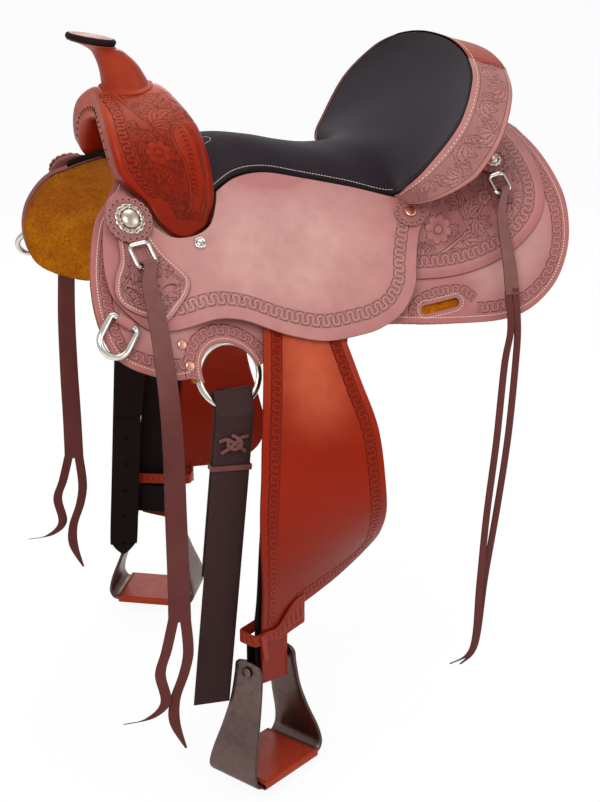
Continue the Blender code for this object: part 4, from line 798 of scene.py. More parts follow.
SEAT_JOCKEY = [
    (-290, 106), (-309, 132), (-321, 172), (-328, 209), (-328, 238), (-321, 256), (-302, 273), (-284, 281),
    (-259, 279), (-230, 270), (-201, 260), (-177, 257), (-155, 259), (-128, 267), (-103, 274), (-55, 282),
    (-6, 278), (23, 273), (55, 259), (80, 231), (92, 196), (108, 160), (131, 137), (124, 122), (92, 111),
    (35, 82), (-27, 59), (-75, 47), (-118, 58), (-154, 86), (-162, 109), (-177, 138), (-198, 153),
    (-226, 157), (-249, 148), (-267, 127), (-279, 104)]
REAR_JOCKEY = [
    (292, 4), (294, 33), (300, 65), (303, 99), (303, 129), (299, 156), (288, 181), (270, 199), (244, 213),
    (215, 221), (179, 225), (138, 224), (92, 217), (62, 208), (62, 165), (92, 128), (130, 94), (172, 84),
    (204, 66), (228, 44), (240, 22), (243, 4)]
EAR = [
    (-296, 128), (-303, 160), (-306, 200), (-317, 226), (-321, 247), (-314, 260), (-298, 266), (-284, 268),
    (-271, 272), (-258, 267), (-238, 245), (-224, 226), (-221, 210), (-232, 196), (-247, 181), (-262, 157),
    (-272, 130)]


def jockey_sheen_and_shade(x, s, d):
    # Painted sheen: the middle of the jockey is lighter where light falls on it; painted shade keeps it darker just
    # below the seat's edge
    middle = hump(x + 0.09, 0.15) * hump(s - 0.17, 0.085)
    flush = hump(x + 0.075, 0.045) * hump(s - 0.055, 0.022)
    return np.clip(1.05 * middle + 0.12 - 0.9 * flush, 0, 1)


REAR_MOTIFS = (
    [stem([(92, 206), (120, 196), (150, 186), (182, 170), (206, 148), (226, 122), (248, 94), (268, 60), (278, 20)],
          0.0020),
     stem([(182, 170), (176, 148), (168, 128), (172, 108)], 0.0016)]
    + sprays([(104, 204, 200, 24, 1), (112, 200, -80, 30, 1), (150, 190, 60, 22, -1), (168, 182, 30, 30, 1),
              (196, 160, 60, 30, -1), (226, 176, 10, 26, 1), (226, 168, -50, 28, -1), (250, 150, 50, 24, 1),
              (222, 128, 20, 30, -1), (262, 118, 60, 22, 1), (254, 108, -40, 26, 1), (272, 84, 40, 20, -1),
              (264, 72, -70, 28, -1), (240, 96, -140, 22, 1), (274, 44, -80, 26, 1), (258, 40, -140, 22, -1),
              (184, 158, -50, 30, 1), (176, 140, -130, 28, -1), (170, 118, -70, 26, 1), (196, 118, -30, 26, -1),
              (208, 104, -90, 22, 1), (150, 122, -150, 22, 1), (122, 150, -120, 24, -1), (126, 178, 160, 20, 1),
              (150, 172, -20, 22, 1)])
    + [flower(0.139, 0.160, 0.019, 8, 0.4), flower(0.212, 0.138, 0.010, 5, 0.9), flower(0.246, 0.064, 0.012, 6, 0.2)])
EAR_MOTIFS = (
    [stem([(-288, 164), (-290, 190), (-294, 214), (-310, 236)], 0.0015),
     stem([(-270, 170), (-264, 196), (-246, 206), (-228, 216)], 0.0015),
     stem([(-284, 262), (-276, 240), (-272, 220), (-276, 200)], 0.0015)]
    + sprays([(-286, 176, -110, 18, 1), (-272, 176, -60, 18, -1), (-296, 208, 100, 24, 1), (-296, 214, 150, 18, -1),
              (-264, 200, 20, 26, 1), (-258, 198, -40, 18, -1), (-276, 224, 60, 24, -1), (-278, 226, 120, 26, 1),
              (-312, 240, 60, 22, -1), (-300, 256, 20, 22, 1), (-276, 262, -20, 20, -1), (-256, 254, -40, 22, 1),
              (-232, 220, 120, 22, 1), (-246, 240, 100, 18, -1), (-268, 244, 30, 18, 1)]))


def rear_relief(x, s, d):
    # Painted shade in the carved ground and in the cut line round it
    dip, dark = carve(x, s, REAR_MOTIFS)
    share = smooth(d, 0.0325, 0.0345)
    line = hump(d - 0.0325, 0.0007)
    return dip * share - 0.0006 * line, np.maximum(1.2 * dark * share, line * 0.9)


def rear_tone(x, s, d):
    return 0.55 * smooth(d, 0.002, 0.02) * (1 - smooth(d, 0.03, 0.05)) + 0.1


EAR_SLOTS = ((-0.296, 0.241, 25), (-0.249, 0.226, -25))


def ear_relief(x, s, d):
    # Painted shade in the carved ground and in the cut line round it, which runs close round the slots
    dip, dark = carve(x, s, EAR_MOTIFS)
    by_slot = np.minimum(*(np.hypot(x - at_x, s - at_s) for at_x, at_s, _ in EAR_SLOTS)) < 0.0165
    share = np.where(by_slot, smooth(d, 0.0014, 0.0022), smooth(d, 0.0072, 0.0085))
    line = hump(d - np.where(by_slot, 0.0014, 0.0072), 0.0006)
    return dip * share - 0.0005 * line, np.maximum(1.25 * dark * share, line * 0.85)


def ear_slots():
    rings = []
    for x, s, turn in EAR_SLOTS:
        c, n = math.cos(math.radians(turn)), math.sin(math.radians(turn))
        rings.append((x, s) + arc(0, 0, 1, 0, 360, 25)[:-1] * (0.011, 0.0042) @ np.array(((c, n), (-n, c))))
    return rings


for side, tag in SIDES:
    jockey = Piece()
    panel(jockey, curve(SEAT_JOCKEY, corners=(36, 29)), jockey_lift, side, tone=jockey_sheen_and_shade)
    lower = curve(SEAT_JOCKEY[2:22], closed=False)
    border(jockey, lower[10:], jockey_lift, side, 0.0150, 0.0175, 0.0140, tone=0.45)
    jockey.stand(f"seat_jockey_{tag}", "rose")

    housing = Piece()
    panel(housing, curve(REAR_JOCKEY, corners=(0, 13, 14, 21)), rear_lift, side, step=0.00125, relief=rear_relief,
          tone=rear_tone)
    outer = curve(REAR_JOCKEY[:14], closed=False)
    border(housing, outer[6:], rear_lift, side, 0.0135, 0.0180, 0.0150, tone=0.3, hand=1)
    housing.stand(f"rear_jockey_{tag}", "rose")

    ear = Piece()
    panel(ear, curve(EAR, corners=(0, 16)), ear_lift, side, step=0.0010, relief=ear_relief, holes=ear_slots(),
          tone=lambda x, s, d: 0.35 + 0 * x)
    ear.stand(f"ear_plate_{tag}", "rose")
    thread = Piece()
    stitch_line(thread, curve(EAR[1:16], closed=False), ear_lift, side, 0.0045)
    thread.build(f"stitches_ear_{tag}", "thread", slot="rose_leather")


# Seat and cantle

SEAT_CENTRE = [(-165, 74), (-120, 76), (-75, 70), (-30, 59), (20, 51), (65, 52), (102, 62), (136, 84),
               (168, 118), (191, 154), (202, 188)]
SEAT_LOW_EDGE = [(-158, 86), (-118, 54), (-75, 43), (-27, 55), (35, 78), (86, 104)]
CANTLE_EDGE = [(0.85, 0.13), (0.945, 0.285), (0.995, 0.56), (0.82, 0.805), (0.58, 0.925)]
CANTLE_X, CANTLE_TOP, CANTLE_HALF, CANTLE_LEAN = 0.202, 0.188, 0.198, 0.70


def stations():
    """The seat's centre line and its edge, as matching rows of points."""
    middle = np.array([(x, 0, z) for x, z in SEAT_CENTRE]) / 1000
    edge = []
    for x, s in np.array(SEAT_LOW_EDGE) / 1000:
        edge.append(form(x, s, jockey_lift(x, s) + LEATHER + 0.001, OFF))
    for wide, high in CANTLE_EDGE:
        z = high * CANTLE_TOP
        edge.append((CANTLE_X - CANTLE_LEAN * (CANTLE_TOP - z), wide * CANTLE_HALF, z))
    return middle, np.array(edge)


STATIONS = stations()


def along_stations(which, j):
    pts = STATIONS[which]
    j = np.asarray(j, float)
    k = np.clip(j.astype(int), 0, len(pts) - 2)
    return spline(*(pts[np.clip(k + d, 0, len(pts) - 1)] for d in (-1, 0, 1, 2)), (j - k)[..., None])


def seat_point(i, j):
    """Point of the seat's face: i runs across from -1 to 1, j from the fork (0) to the top of the cantle (10)."""
    middle, edge = along_stations(0, j), along_stations(1, j)
    point = middle + (edge - middle) * (np.abs(i) ** 2.3)[..., None]
    point[..., 1] = edge[..., 1] * i
    return point


def edge_width(j):
    """Width of the outer tenth of one half of the seat."""
    return np.linalg.norm(seat_point(np.ones(len(j)), j) - seat_point(np.full(len(j), 0.9), j), axis=1)


def sew_path(piece, path, ahead, out, first, pitch, lift, length, width):
    """Stitches at an even pitch along a dense path."""
    along = lengths(path)
    pick = np.searchsorted(along, np.arange(first, along[-1], pitch))
    sew(piece, path[pick] + lift * out[pick], ahead[pick], out[pick], length, width)


i_row = np.concatenate([np.linspace(-1, -0.9, 15)[:-1], np.linspace(-0.9, 0.9, 121), np.linspace(0.9, 1, 15)[1:]])
j_row = np.linspace(0, 10, 240)
ii, jj = np.meshgrid(i_row, j_row)
face = seat_point(ii, jj)
up = normals(face)
up *= np.sign(up[..., 2:3].mean())
from_edge = (1 - np.abs(ii)) * 10 * edge_width(j_row)[:, None]
SEAM, SEAM_DEPTH = 0.0062, 0.0011
groove = hump(from_edge - SEAM, 0.0011)
roll_off = 0.0030 * (1 - smooth(from_edge, 0.0, 0.004)) ** 1.5
pucker = 0.0005 * np.sin(jj * 2.1 + 2 * ii) * np.sin(ii * 3.3 + jj) * smooth(from_edge, 0.01, 0.05)
top = face - up * (roll_off + groove * SEAM_DEPTH - pucker + 0.0003)[..., None]
seat = Piece()
# Painted shade in the seam groove
seat.grid(top, np.clip(groove * 0.6, 0, 1))
# The walls below the seat's edge and its front get painted shade
for column, flip in ((0, False), (-1, True)):
    seat.grid(np.stack([top[:, column], top[:, column] - up[:, column] * 0.0045], axis=1), 0.5, flip=flip)
seat.grid(np.stack([top[0], top[0] - up[0] * 0.006]), 0.4)
cushion = seat.stand("seat", "suede")

thread = Piece()
j_line = np.linspace(0.12, 5.15, 900)
for hand in (-1, 1):
    i_line = hand * (1 - SEAM / (edge_width(j_line) * 10))
    path = seat_point(i_line, j_line)
    ahead = seat_point(i_line, j_line + 0.01) - path
    out = np.cross(ahead, seat_point(i_line - hand * 0.01, j_line) - path)
    sew_path(thread, path, ahead, unit(out * np.sign(out[:, 2:3])), 0.003, 0.0040, -0.0009, 0.0030, 0.0006)
oval = np.linspace(0, math.tau, 200)
for mirror in (-1, 1):
    path = seat_point(mirror * (0.30 + 0.10 * np.sin(oval)), 0.42 + 0.25 * np.cos(oval))
    sew_path(thread, path, np.gradient(path, axis=0), np.tile((0.0, 0.0, 1.0), (200, 1)), 0.001, 0.0036, 0.0003,
             0.0026, 0.0005)
thread.build("stitches_seat", "thread", slot="suede")

ROLL = np.array([(0.0, 0.0), (6, 20), (15, 46), (17, 53), (14, 58), (6, 57.5), (-3, 42)])
CANTLE_BASE = np.array([(92, 92), (112, 99), (140, 99), (172, 92), (206, 76), (234, 50), (247, 24), (251, 0)]) / 1000


def rim_point(t):
    """Point of the cantle's rim: t runs from its low end (0) to the top (5) and on to the centre line (6)."""
    edge = along_stations(1, np.clip(5 + t, 5, 10))
    return np.where((t <= 5)[..., None], edge, seat_point(np.clip(6 - t, 0, 1), np.full(t.shape, 10.0)))


def cantle_rings(ts, side):
    """Rows over the cantle's roll and down its back, with the roll's section and size."""
    run = rim_point(np.clip(ts + 0.05, 0, 6)) - rim_point(np.clip(ts - 0.05, 0, 6))
    run[ts > 5.9] = (0, -1, 0)
    n = unit(np.array((1, 0, -CANTLE_LEAN)))
    out = unit(np.cross(run, n))
    out *= np.sign(out[np.argmin(np.abs(ts - 4.0))] @ np.array((0.3, 0.6, 0.6)))
    rim = rim_point(ts) + 0.003 * out
    size = (0.10 + 0.90 * np.clip(ts / 2.4, 0, 1) ** 0.8)[:, None, None] / 1000
    fine = curve(ROLL, closed=False, steps=16) * 1000
    roll = rim[:, None] + size * (fine[None, :, :1] * out[:, None] + fine[None, :, 1:] * n)
    k = np.clip((ts * 7 / 6).astype(int), 0, 6)
    u = (ts * 7 / 6 - k)[:, None]
    base = CANTLE_BASE[k] * (1 - u) + CANTLE_BASE[np.minimum(k + 1, 7)] * u
    foot = form(base[:, 0], base[:, 1], BAR_TOP + LEATHER + 5 * GAP, OFF)
    wall = [roll[:, -1] + (foot - roll[:, -1]) * w for w in np.linspace(0.12, 1, 10)]
    rings = np.concatenate([roll, np.stack(wall, axis=1)], axis=1)
    rings[..., 1] *= side
    return rings, fine, size[:, 0, 0]


ts = np.linspace(0.12, 6.0, 420)
near_rings, fine, sizes = cantle_rings(ts, NEAR)
off_rings, _, _ = cantle_rings(ts[::-1][1:], OFF)
rings = np.concatenate([near_rings, off_rings])
rise = np.concatenate([sizes, sizes[::-1][1:]])[:, None] * 1000
run_along = lengths(rings[:, 36])
across = np.concatenate([lengths(fine / 1000), np.zeros(10) + 0.09 + 0.01 * np.arange(10)])
along_grid, across_grid = np.meshgrid(run_along, across, indexing="ij")
half = run_along[-1] / 2 * 1000
motifs = []
for hand in (-1, 1):
    for k in range(9):
        u, low = half + hand * (116 + 36 * k), k % 2
        v, w_to = (17, 44) if low else (47, 20)
        motifs.append(stem([(u - hand * 22, w_to), (u - hand * 6, v), (u + hand * 14, v + (5 if low else -5)),
                            (u + hand * 24, w_to)], 0.0013))
        lean_by, turned = (60, hand) if low else (-60, -hand)
        motifs += spray(u - hand * 8, v, lean_by if hand == 1 else 180 - lean_by, 31, turned, 4, 0.24)
        motifs += spray(u + hand * 12, w_to, -lean_by if hand == 1 else 180 + lean_by, 24, -turned, 3)
dip, dark = carve(along_grid, across_grid, motifs, 0.0010)
crown = smooth(np.abs(along_grid - half / 1000), 0.112, 0.120)
band = (smooth(across_grid, 0.0120, 0.0135) * (1 - smooth(across_grid, 0.0500, 0.0515)) * smooth(rise, 0.40, 0.55)
        * crown)
lines = hump(across_grid - 0.0120, 0.0008) + hump(across_grid - 0.0515, 0.0008)
lines = np.clip(lines * smooth(rise, 0.25, 0.4) * crown, 0, 1)
face_out = normals(rings)
face_out *= np.sign(face_out[420, 36, 0] + face_out[420, 36, 2])
roll_top = rings + face_out * (dip * band - 0.0007 * lines)[..., None]
# Painted shade in the carving and along the two lines that bound it
shade = np.maximum(dark * band, 0.9 * lines)
cut_at = int(np.argmax(across >= 0.058))
split = int(np.argmax(run_along > half / 1000 - 0.128))
for name, look, rows_at, tone_at in (("roll_near", "rose", slice(0, split + 1), 0.40),
                                     ("roll_off", "rose", slice(len(rings) - split - 1, len(rings)), 0.40),
                                     ("crown", "orange", slice(split, len(rings) - split), 0.30)):
    cantle = Piece()
    cantle.grid(roll_top[rows_at, :cut_at + 1], shade[rows_at, :cut_at + 1], tone_at, flip=True)
    cantle.build(f"cantle_{name}_v", look, "saddle", "rose_leather", "cantle_back")
back = Piece()
# Painted shade: the wall below the roll darkens toward its foot
back.grid(rings[:, cut_at:], 0.25 * smooth(across_grid[:, cut_at:], 0.085, 0.10), 0.15, flip=True)
back.build("cantle_wall_v", "orange", "saddle", "rose_leather", "cantle_back")
thread = Piece()
sewn = (slice(24, -24), int(np.argmax(across >= 0.0062)))
sew_path(thread, rings[sewn], np.gradient(rings[sewn], axis=0), face_out[sewn], 0.002, 0.0060, 0.0003, 0.0028, 0.0008)
thread.build("stitches_cantle", "thread", slot="rose_leather")

# Fork and horn

# Sections from the foot to the top, in millimetres: outer y and z, inner y and z, front and rear x
FORK = np.array([
    (154.5, -20.5, 147, 0, -222, -208), (153, -18, 142, 0, -229, -200), (149, -11, 133, 0, -240, -188),
    (144, -4, 120, 0, -247, -176), (135, 10, 100, 0, -255, -166), (129, 30, 88, 22, -272, -161),
    (122.5, 56.5, 80, 45, -286, -162), (111.7, 85, 66, 70, -291, -166), (88, 112.4, 45, 91, -292, -172),
    (50, 132.6, 22, 101, -290, -180), (0, 146, 0, 104, -287, -187)])


def fork_rings(count):
    """Closed sections of the fork cover, from the off foot over the top to the near foot."""
    rows = FORK.copy()
    for row in rows[:5]:    # the inner edge of the feet rests on the skirts
        s = np.linspace(0.05, 0.25, 200)
        level = form(np.full(200, (row[4] + row[5]) / 2000), s, SKIRT_TOP + 2 * GAP + 0 * s, OFF)
        row[3] = np.interp(row[2] / 1000, level[:, 1], level[:, 2]) * 1000
    fine = curve(np.vstack([rows, rows[-2::-1] * (-1, 1, -1, 1, 1, 1)]), closed=False, steps=10)
    fine = resample(fine, lengths(fine)[-1] / count)
    out = []
    for oy, oz, iy, iz, x0, x1 in fine:
        span = np.array((oy - iy, oz - iz))
        high = np.linalg.norm(span)
        span /= high
        corner = min(0.018, high * 0.45, (x1 - x0) * 0.4)
        small = corner * 0.45
        points = np.vstack([
            arc(x0 + small, small, small, -90, -180, 4), np.linspace((x0, small), (x0, high - small), 6)[1:-1],
            arc(x0 + small, high - small, small, 180, 90, 7),
            np.linspace((x0 + small, high), (x1 - corner, high), 100)[1:-1],
            arc(x1 - corner, high - corner, corner, 90, 0, 18),
            np.linspace((x1, high - corner), (x1, small), 5)[1:-1],
            arc(x1 - small, small, small, 0, -90, 4), np.linspace((x1 - small, 0), (x0 + small, 0), 14)[1:-1]])
        lean = (1 - np.clip(oz / 0.06, 0, 1)) * RISE * (points[:, 0] ** 2 - ((x0 + x1) / 2) ** 2)
        out.append(np.column_stack([points[:, 0], iy + span[0] * points[:, 1], iz + span[1] * points[:, 1] + lean]))
    return np.array(out)


fork = fork_rings(430)
girth = lengths(fork[:, 40])
mid_girth = girth[-1] / 2
# Pattern of the carving: w runs rearward from the end of the front rounding, g down from the top centre
w = np.zeros(fork.shape[:2])
w[:, 1:] = np.cumsum(np.linalg.norm(np.diff(fork, axis=1), axis=2), axis=1)
w = w - w[:, 14:15]
g = np.abs(girth - mid_girth)[:, None] + 0 * w
fork_motifs = (
    [stem([(16, 30), (27, 58), (38, 82), (50, 100)], 0.0020),
     stem([(50, 100), (40, 122), (36, 150), (34, 180), (34, 210)], 0.0018),
     stem([(50, 100), (60, 114), (66, 132)], 0.0015)]
    + scroll(0.038, 0.058, 0.012, 1.2, 2.4, -1)
    + sprays([(30, 40, -60, 26, 1), (52, 40, 10, 28, -1), (72, 56, 50, 26, 1), (60, 62, 10, 24, 1),
              (84, 78, 20, 22, -1), (42, 78, -100, 24, -1), (32, 96, 150, 18, -1), (54, 98, -30, 40, 1),
              (50, 102, 30, 30, 1), (44, 108, 150, 22, 1), (28, 122, 110, 20, 1), (62, 126, 70, 20, 1),
              (32, 150, 200, 16, -1), (66, 150, 60, 18, -1), (36, 158, 120, 26, 1), (58, 160, 90, 26, -1),
              (26, 184, 100, 24, -1), (44, 186, 60, 26, 1), (30, 206, 70, 20, 1), (22, 160, 80, 20, 1),
              (56, 190, 70, 18, -1), (16, 196, 80, 22, -1), (24, 214, 40, 22, 1), (36, 216, 10, 20, 1),
              (14, 214, 60, 18, 1)])
    + [flower(0.050, 0.138, 0.0165, 7, 0.3)])
dip, dark = carve(w, g, fork_motifs, 0.0010)
band_at = 0.003 + 0.0065 * smooth(g, 0.030, 0.080) + 0.0040 * smooth(g, 0.110, 0.145)
arch = curve([(40, 216), (56, 204), (71, 181), (78, 156), (74, 137), (71, 117), (76, 104), (87, 98), (97, 105),
              (103, 126), (104, 157), (95, 181), (78, 203), (66, 214)], closed=False)
d_arch, _, _, _ = nearest(w, g, resample(arch, 0.003))
in_arch = within(w, g, np.vstack([arch, arch[:1]]))
leaf_row = curve([(85, 106), (89, 125), (90, 147), (84, 172), (72, 194)], closed=False)
d_row, u_row, _, _ = nearest(w, g, resample(leaf_row, 0.003))
leafy = (0.5 + 0.5 * np.cos((u_row - 0.7 * d_row) * math.tau / 0.0062)) ** 2
leafy = leafy * (1 - smooth(d_row, 0.0030, 0.0042)) * (g > 0.104) * (g < 0.196)
region = smooth(w - band_at, 0.0095, 0.0105) * (1 - smooth(g, 0.226, 0.230)) * smooth(g, 0.030, 0.033)
behind = smooth(w, 0.092, 0.096) * (1 - smooth(g, 0.0, 0.099)) + (g > 0.099) * (w > 0.080)
region = region * (1 - np.clip(behind, 0, 1)) * ~in_arch
# Painted shade in the arch's cut lines, its leaf row and the carved ground
cut = (hump(d_arch, 0.0008) + hump(d_arch - 0.0035, 0.0007) * in_arch
       + hump(w - band_at - 0.0095, 0.0007) * (g < 0.205) * (g > 0.028))
cut = np.clip(cut, 0, 1)
total_dip = np.where(in_arch, -0.0007 * leafy, dip * region) - 0.0008 * cut
total_dark = np.maximum(np.where(in_arch, 0.8 * leafy, dark * region), cut * 0.85)
v_band = (w - band_at) / 0.0075
high, shade = stamp(girth[:, None] + 0 * w, np.clip(v_band, -1, 1), 0.0125, 0.015)
in_band = (np.abs(v_band) < 1) & (g > 0.026) & (g < 0.200)
total_dip = np.where(in_band, -0.0009 * (1 - high), total_dip)
total_dark = np.where(in_band, shade, total_dark)
facing = normals(fork, wrap=True)
facing *= np.sign(facing[215, 40, 2])
# Painted highlight: the cover is lighter near the top and front, where light falls on it; toward the feet it is
# darker
glow = 0.62 * (1 - smooth(g, 0.03, 0.17)) * (1 - smooth(w, 0.085, 0.12)) - 0.40 * smooth(g, 0.17, 0.25)
cover = Piece()
cover.grid(fork + facing * total_dip[..., None], total_dark, glow, flip=True, wrap=True)
# The end faces at the feet get painted shade
cover.cap(fork[0], 0.3, True)
cover.cap(fork[-1], 0.3, False)
cover.stand("fork_cover", "orange")

# Lace along the front edge of the gullet
lace = Piece()
for k in range(27, len(fork) - 27, 11):
    if abs(girth[k] - mid_girth) <= 0.145:
        out = facing[k, 4]
        sew(lace, (fork[k, 4] + out * 0.0003)[None], (fork[k, 1] - fork[k, 6])[None], out[None], 0.0075, 0.0011)
lace.build("gullet_lace", "edge", slot="orange_leather")

# Rings of the horn's neck, in millimetres: x, z, radius and tilt
HORN_TILT = 10.8
HORN_RINGS = np.array([
    (-242.5, 145.5, 34.5, 0), (-242.5, 148.0, 35.4, 0), (-242.5, 149.6, 34.8, 0), (-243, 150.2, 33.0, 0),
    (-243.5, 150.9, 30.6, 0), (-251.5, 170.0, 25.0, -8), (-261, 185.0, 20.5, -6), (-267.5, 193.0, 21.0, 4),
    (-279, 199.0, 26.5, HORN_TILT), (-285.2, 202.0, 31.0, HORN_TILT), (-286.4, 203.2, 31.3, HORN_TILT)])
fine = curve(HORN_RINGS, closed=False, steps=8, corners=(0, 4))
turn = circle(72)
x, z, radius = fine[:, 0:1], fine[:, 1:2], fine[:, 2:3]
tilt = np.radians(fine[:, 3:] * 1000)
top_y, top_z = curve(FORK[::-1][:4, :2], closed=False).T
drape = np.interp(np.abs(radius * np.sin(turn)), top_y, top_z) - FORK[-1, 1] / 1000
horn = Piece()
horn.grid(np.stack([x + radius * np.cos(turn) * np.cos(tilt), radius * np.sin(turn),
                    z - radius * np.cos(turn) * np.sin(tilt) + drape * (1 - smooth(z, 0.150, 0.172))], axis=-1),
          0.0, 0.32, flip=True, wrap=True)
horn.stand("horn_wrap", "orange")
tilt = math.radians(HORN_TILT)
profile = [(0, 0.0), (0.029, 0.0), (0.0315, 0.0003), (0.0327, 0.0018), (0.0329, 0.0042), (0.0322, 0.0064),
           (0.0305, 0.0076), (0.0285, 0.0080), (0.0265, 0.0078), (0.0255, 0.0080), (0.015, 0.0081), (0, 0.0081)]
cap_rows = np.array([(-0.2870, 0, 0.2040) + np.stack([h * math.sin(tilt) + r * np.cos(turn) * math.cos(tilt),
                                                     r * np.sin(turn),
                                                     h * math.cos(tilt) - r * np.cos(turn) * math.sin(tilt)], axis=-1)
                     for r, h in profile])
cap = Piece()
# Painted shade under the cap and at the outer edge and ring of its top
cap.grid(cap_rows[:3], 0.4, 0.05, wrap=True)
cap.grid(cap_rows[6:], np.repeat([[0.6], [0.1], [0.0], [0.5], [0.0], [0.0]], 72, axis=1), 0.35, wrap=True)
cap.stand("horn_cap", "orange")
# Painted shade: the cap's rounded edge is drawn in black leather to stand for its shadowed edge
rim = Piece()
rim.grid(cap_rows[1:8], 0.0, 0.6, wrap=True)
rim.build("horn_cap_rim_shade_v", "black", "saddle", "orange_leather", "horn_cap")


# Rosettes, conchos, loops

def surface_frame(x, s, lift, side, e=0.02):
    """Frame on a lifted surface of the form: Z out of it, Y down the pattern."""
    def at(dx, ds):
        return Vector(laid(form, lift, side, x + dx, s + ds))

    down = at(0, e) - at(0, -e)
    out = ((at(e, 0) - at(-e, 0)).cross(down) * side).normalized()
    down = (down - out * down.dot(out)).normalized()
    m = Matrix((down.cross(out), down, out)).transposed().to_4x4()
    m.translation = at(0, 0)
    return m


def rest_on(x, s, radius, lift, side, clearance=GAP):
    """Frame of something flat and round that lies on the highest points under it."""
    here = surface_frame(x, s, lift, side)
    back = here.inverted()
    height = 0.0
    for ring in (0.35, 0.7, 1.0):
        for px, ps in arc(x, s, ring * radius, 0, 360, 17)[:-1]:
            height = max(height, (back @ Vector(laid(form, lift, side, px, max(0.0, ps)))).z)
    return here @ Matrix.Translation((0, 0, height + clearance))


def placed(matrix, points):
    m = np.array(matrix)
    return np.asarray(points, float) @ m[:3, :3].T + m[:3, 3]


def disc(piece, matrix, radii, heights, recess=0.0, tone=0.0, count=48, shape=None):
    """Turned form: rows of radius and height; shape scales the radius by angle."""
    a = circle(count)
    rows = []
    for r, h in zip(radii, heights):
        wavy = r * (shape(a) if shape and r > 0.6 * max(radii) else 1.0)
        rows.append(np.column_stack([wavy * np.cos(a), wavy * np.sin(a), np.full(count, h)]))
    shades = np.broadcast_to(np.asarray(recess, float).reshape(-1, 1), (len(rows), count))
    piece.grid(placed(matrix, np.array(rows)), shades, tone, flip=True, wrap=True)


def round_frames(here, radius, count, height, shift=0.5):
    """Frames evenly round a circle."""
    for k in range(count):
        a = math.tau * (k + shift) / count
        yield here @ Matrix.Translation((radius * math.cos(a), radius * math.sin(a), height))


def rosette(side, tag, label, x, s, size, lift):
    here = rest_on(x, s, size / 2, lift, side)
    piece = Piece()
    r = size / 2
    e = r * 0.058
    lobes = 20 if size > 0.05 else 16
    # Painted shade at the rosette's foot, in its groove ring and middle; each eyelet gets painted shade at its foot
    # and in its hole
    disc(piece, here, [r * 0.97, r, r * 0.995, r * 0.97, r * 0.93, r * 0.76, r * 0.745, r * 0.73, r * 0.4, 0],
         [0.0, 0.0008, 0.0022, 0.0030, 0.0033, 0.0033, 0.0026, 0.0032, 0.0032, 0.0032],
         [0.5, 0.5, 0.3, 0.1, 0.0, 0.1, 0.9, 0.3, 0.4, 0.4], 0.25, count=lobes * 8,
         shape=lambda a: 1 - 0.065 + 0.065 * np.abs(np.sin(lobes / 2 * a)) ** 0.6)
    for eyelet, dot in zip(round_frames(here, r * 0.84, lobes, 0.0033),
                           round_frames(here, r * 0.63, lobes, 0.0032, 0)):
        disc(piece, eyelet, [e * 2.2, e * 1.95, e * 1.7, e * 1.3, e, e * 0.9, 0.0],
             [0.0001, 0.00012, 0.0007, 0.0008, 0.0004, 0.00015, 0.0001], [0.3, 1.0, 0.15, 0.0, 0.8, 1.0, 1.0], 0.35,
             count=14)
        disc(piece, dot, [e * 1.1, e * 0.6, 0], [0, 0.0007, 0.0009], [0.5, 0.0, 0.0], 0.3, count=8)
    piece.stand(f"rosette_{label}_{tag}", "rose")
    return here @ Matrix.Translation((0, 0, 0.0033 + GAP))


def concho(here, tag, label, size, look, dome):
    """Scalloped silver concho with a dome, or a plain button where dome is 0."""
    piece = Piece()
    r = size / 2
    if dome:
        berries = 12 if size > 0.03 else 10
        disc(piece, here, [r * 0.97, r, r * 0.97, r * 0.92, r * 0.68, r * 0.66],
             [0, 0.0006, 0.0013, 0.0017, 0.0022, 0.0012], [0.4, 0.3, 0.0, 0.0, 0.1, 0.9], count=berries * 8,
             shape=lambda a: 1 - 0.09 + 0.09 * np.abs(np.sin(berries / 2 * a)) ** 0.7)
        for berry in round_frames(here, r * 0.81, berries, 0.0017):
            disc(piece, berry, [r * 0.115, r * 0.095, r * 0.075, r * 0.06, 0],
                 [0.0002, 0.0005, 0.0004, 0.0002, 0.0002], [0.2, 0.0, 0.8, 1.0, 1.0], count=12)
        ts = np.radians(np.linspace(0, 90, 10))
        disc(piece, here, r * dome * np.cos(ts), 0.0016 + r * 0.30 * np.sin(ts))
    else:
        disc(piece, here, [r * 0.9, r, r * 0.96, r * 0.85, r * 0.4, 0], [0, 0.0008, 0.0018, 0.0024, 0.0028, 0.0029],
             [0.5, 0.2, 0, 0, 0, 0])
    piece.stand(f"concho_{label}_{tag}", look)


def tube(piece, matrix, points, radius, closed=True, sides=12, squash=1.0, tone=0.0):
    """Round or flattened bar along points (local, metres)."""
    points = np.asarray(points, float)
    if closed:
        run = unit(np.roll(points, -1, axis=0) - np.roll(points, 1, axis=0))
    else:
        run = unit(np.gradient(points, axis=0))
    up = unit(np.array((0.0, 0.0, 1.0)) - run * run[:, 2:])
    a = circle(sides)[None, :, None]
    rings = points[:, None] + radius * (np.cos(a) * np.cross(run, up)[:, None] + squash * np.sin(a) * up[:, None])
    if closed:
        rings = np.concatenate([rings, rings[:1]])
    piece.grid(placed(matrix, rings), 0.0, tone, wrap=True)


def outline_of(*arcs, spacing=0.0012):
    """Evenly spaced closed line through arcs, in the plane z = 0."""
    flat = np.vstack(arcs)
    return resample(np.column_stack([flat, 0 * flat[:, 0]]), spacing, closed=True)


def rounded_rectangle(width, height, radius):
    x, y = width / 2 - radius, height / 2 - radius
    return outline_of(*(arc(cx, cy, radius, start, start + 90, 7)
                        for cx, cy, start in ((x, y, 0), (-x, y, 90), (-x, -y, 180), (x, -y, 270))))


def ear_top(x, s):
    return ear_lift(x, s) + LEATHER


def rear_top(x, s):
    return rear_lift(x, s) + LEATHER


def jockey_top(x, s):
    return jockey_lift(x, s) + LEATHER


def skirt_top(x, s):
    return SKIRT_TOP + 0 * x


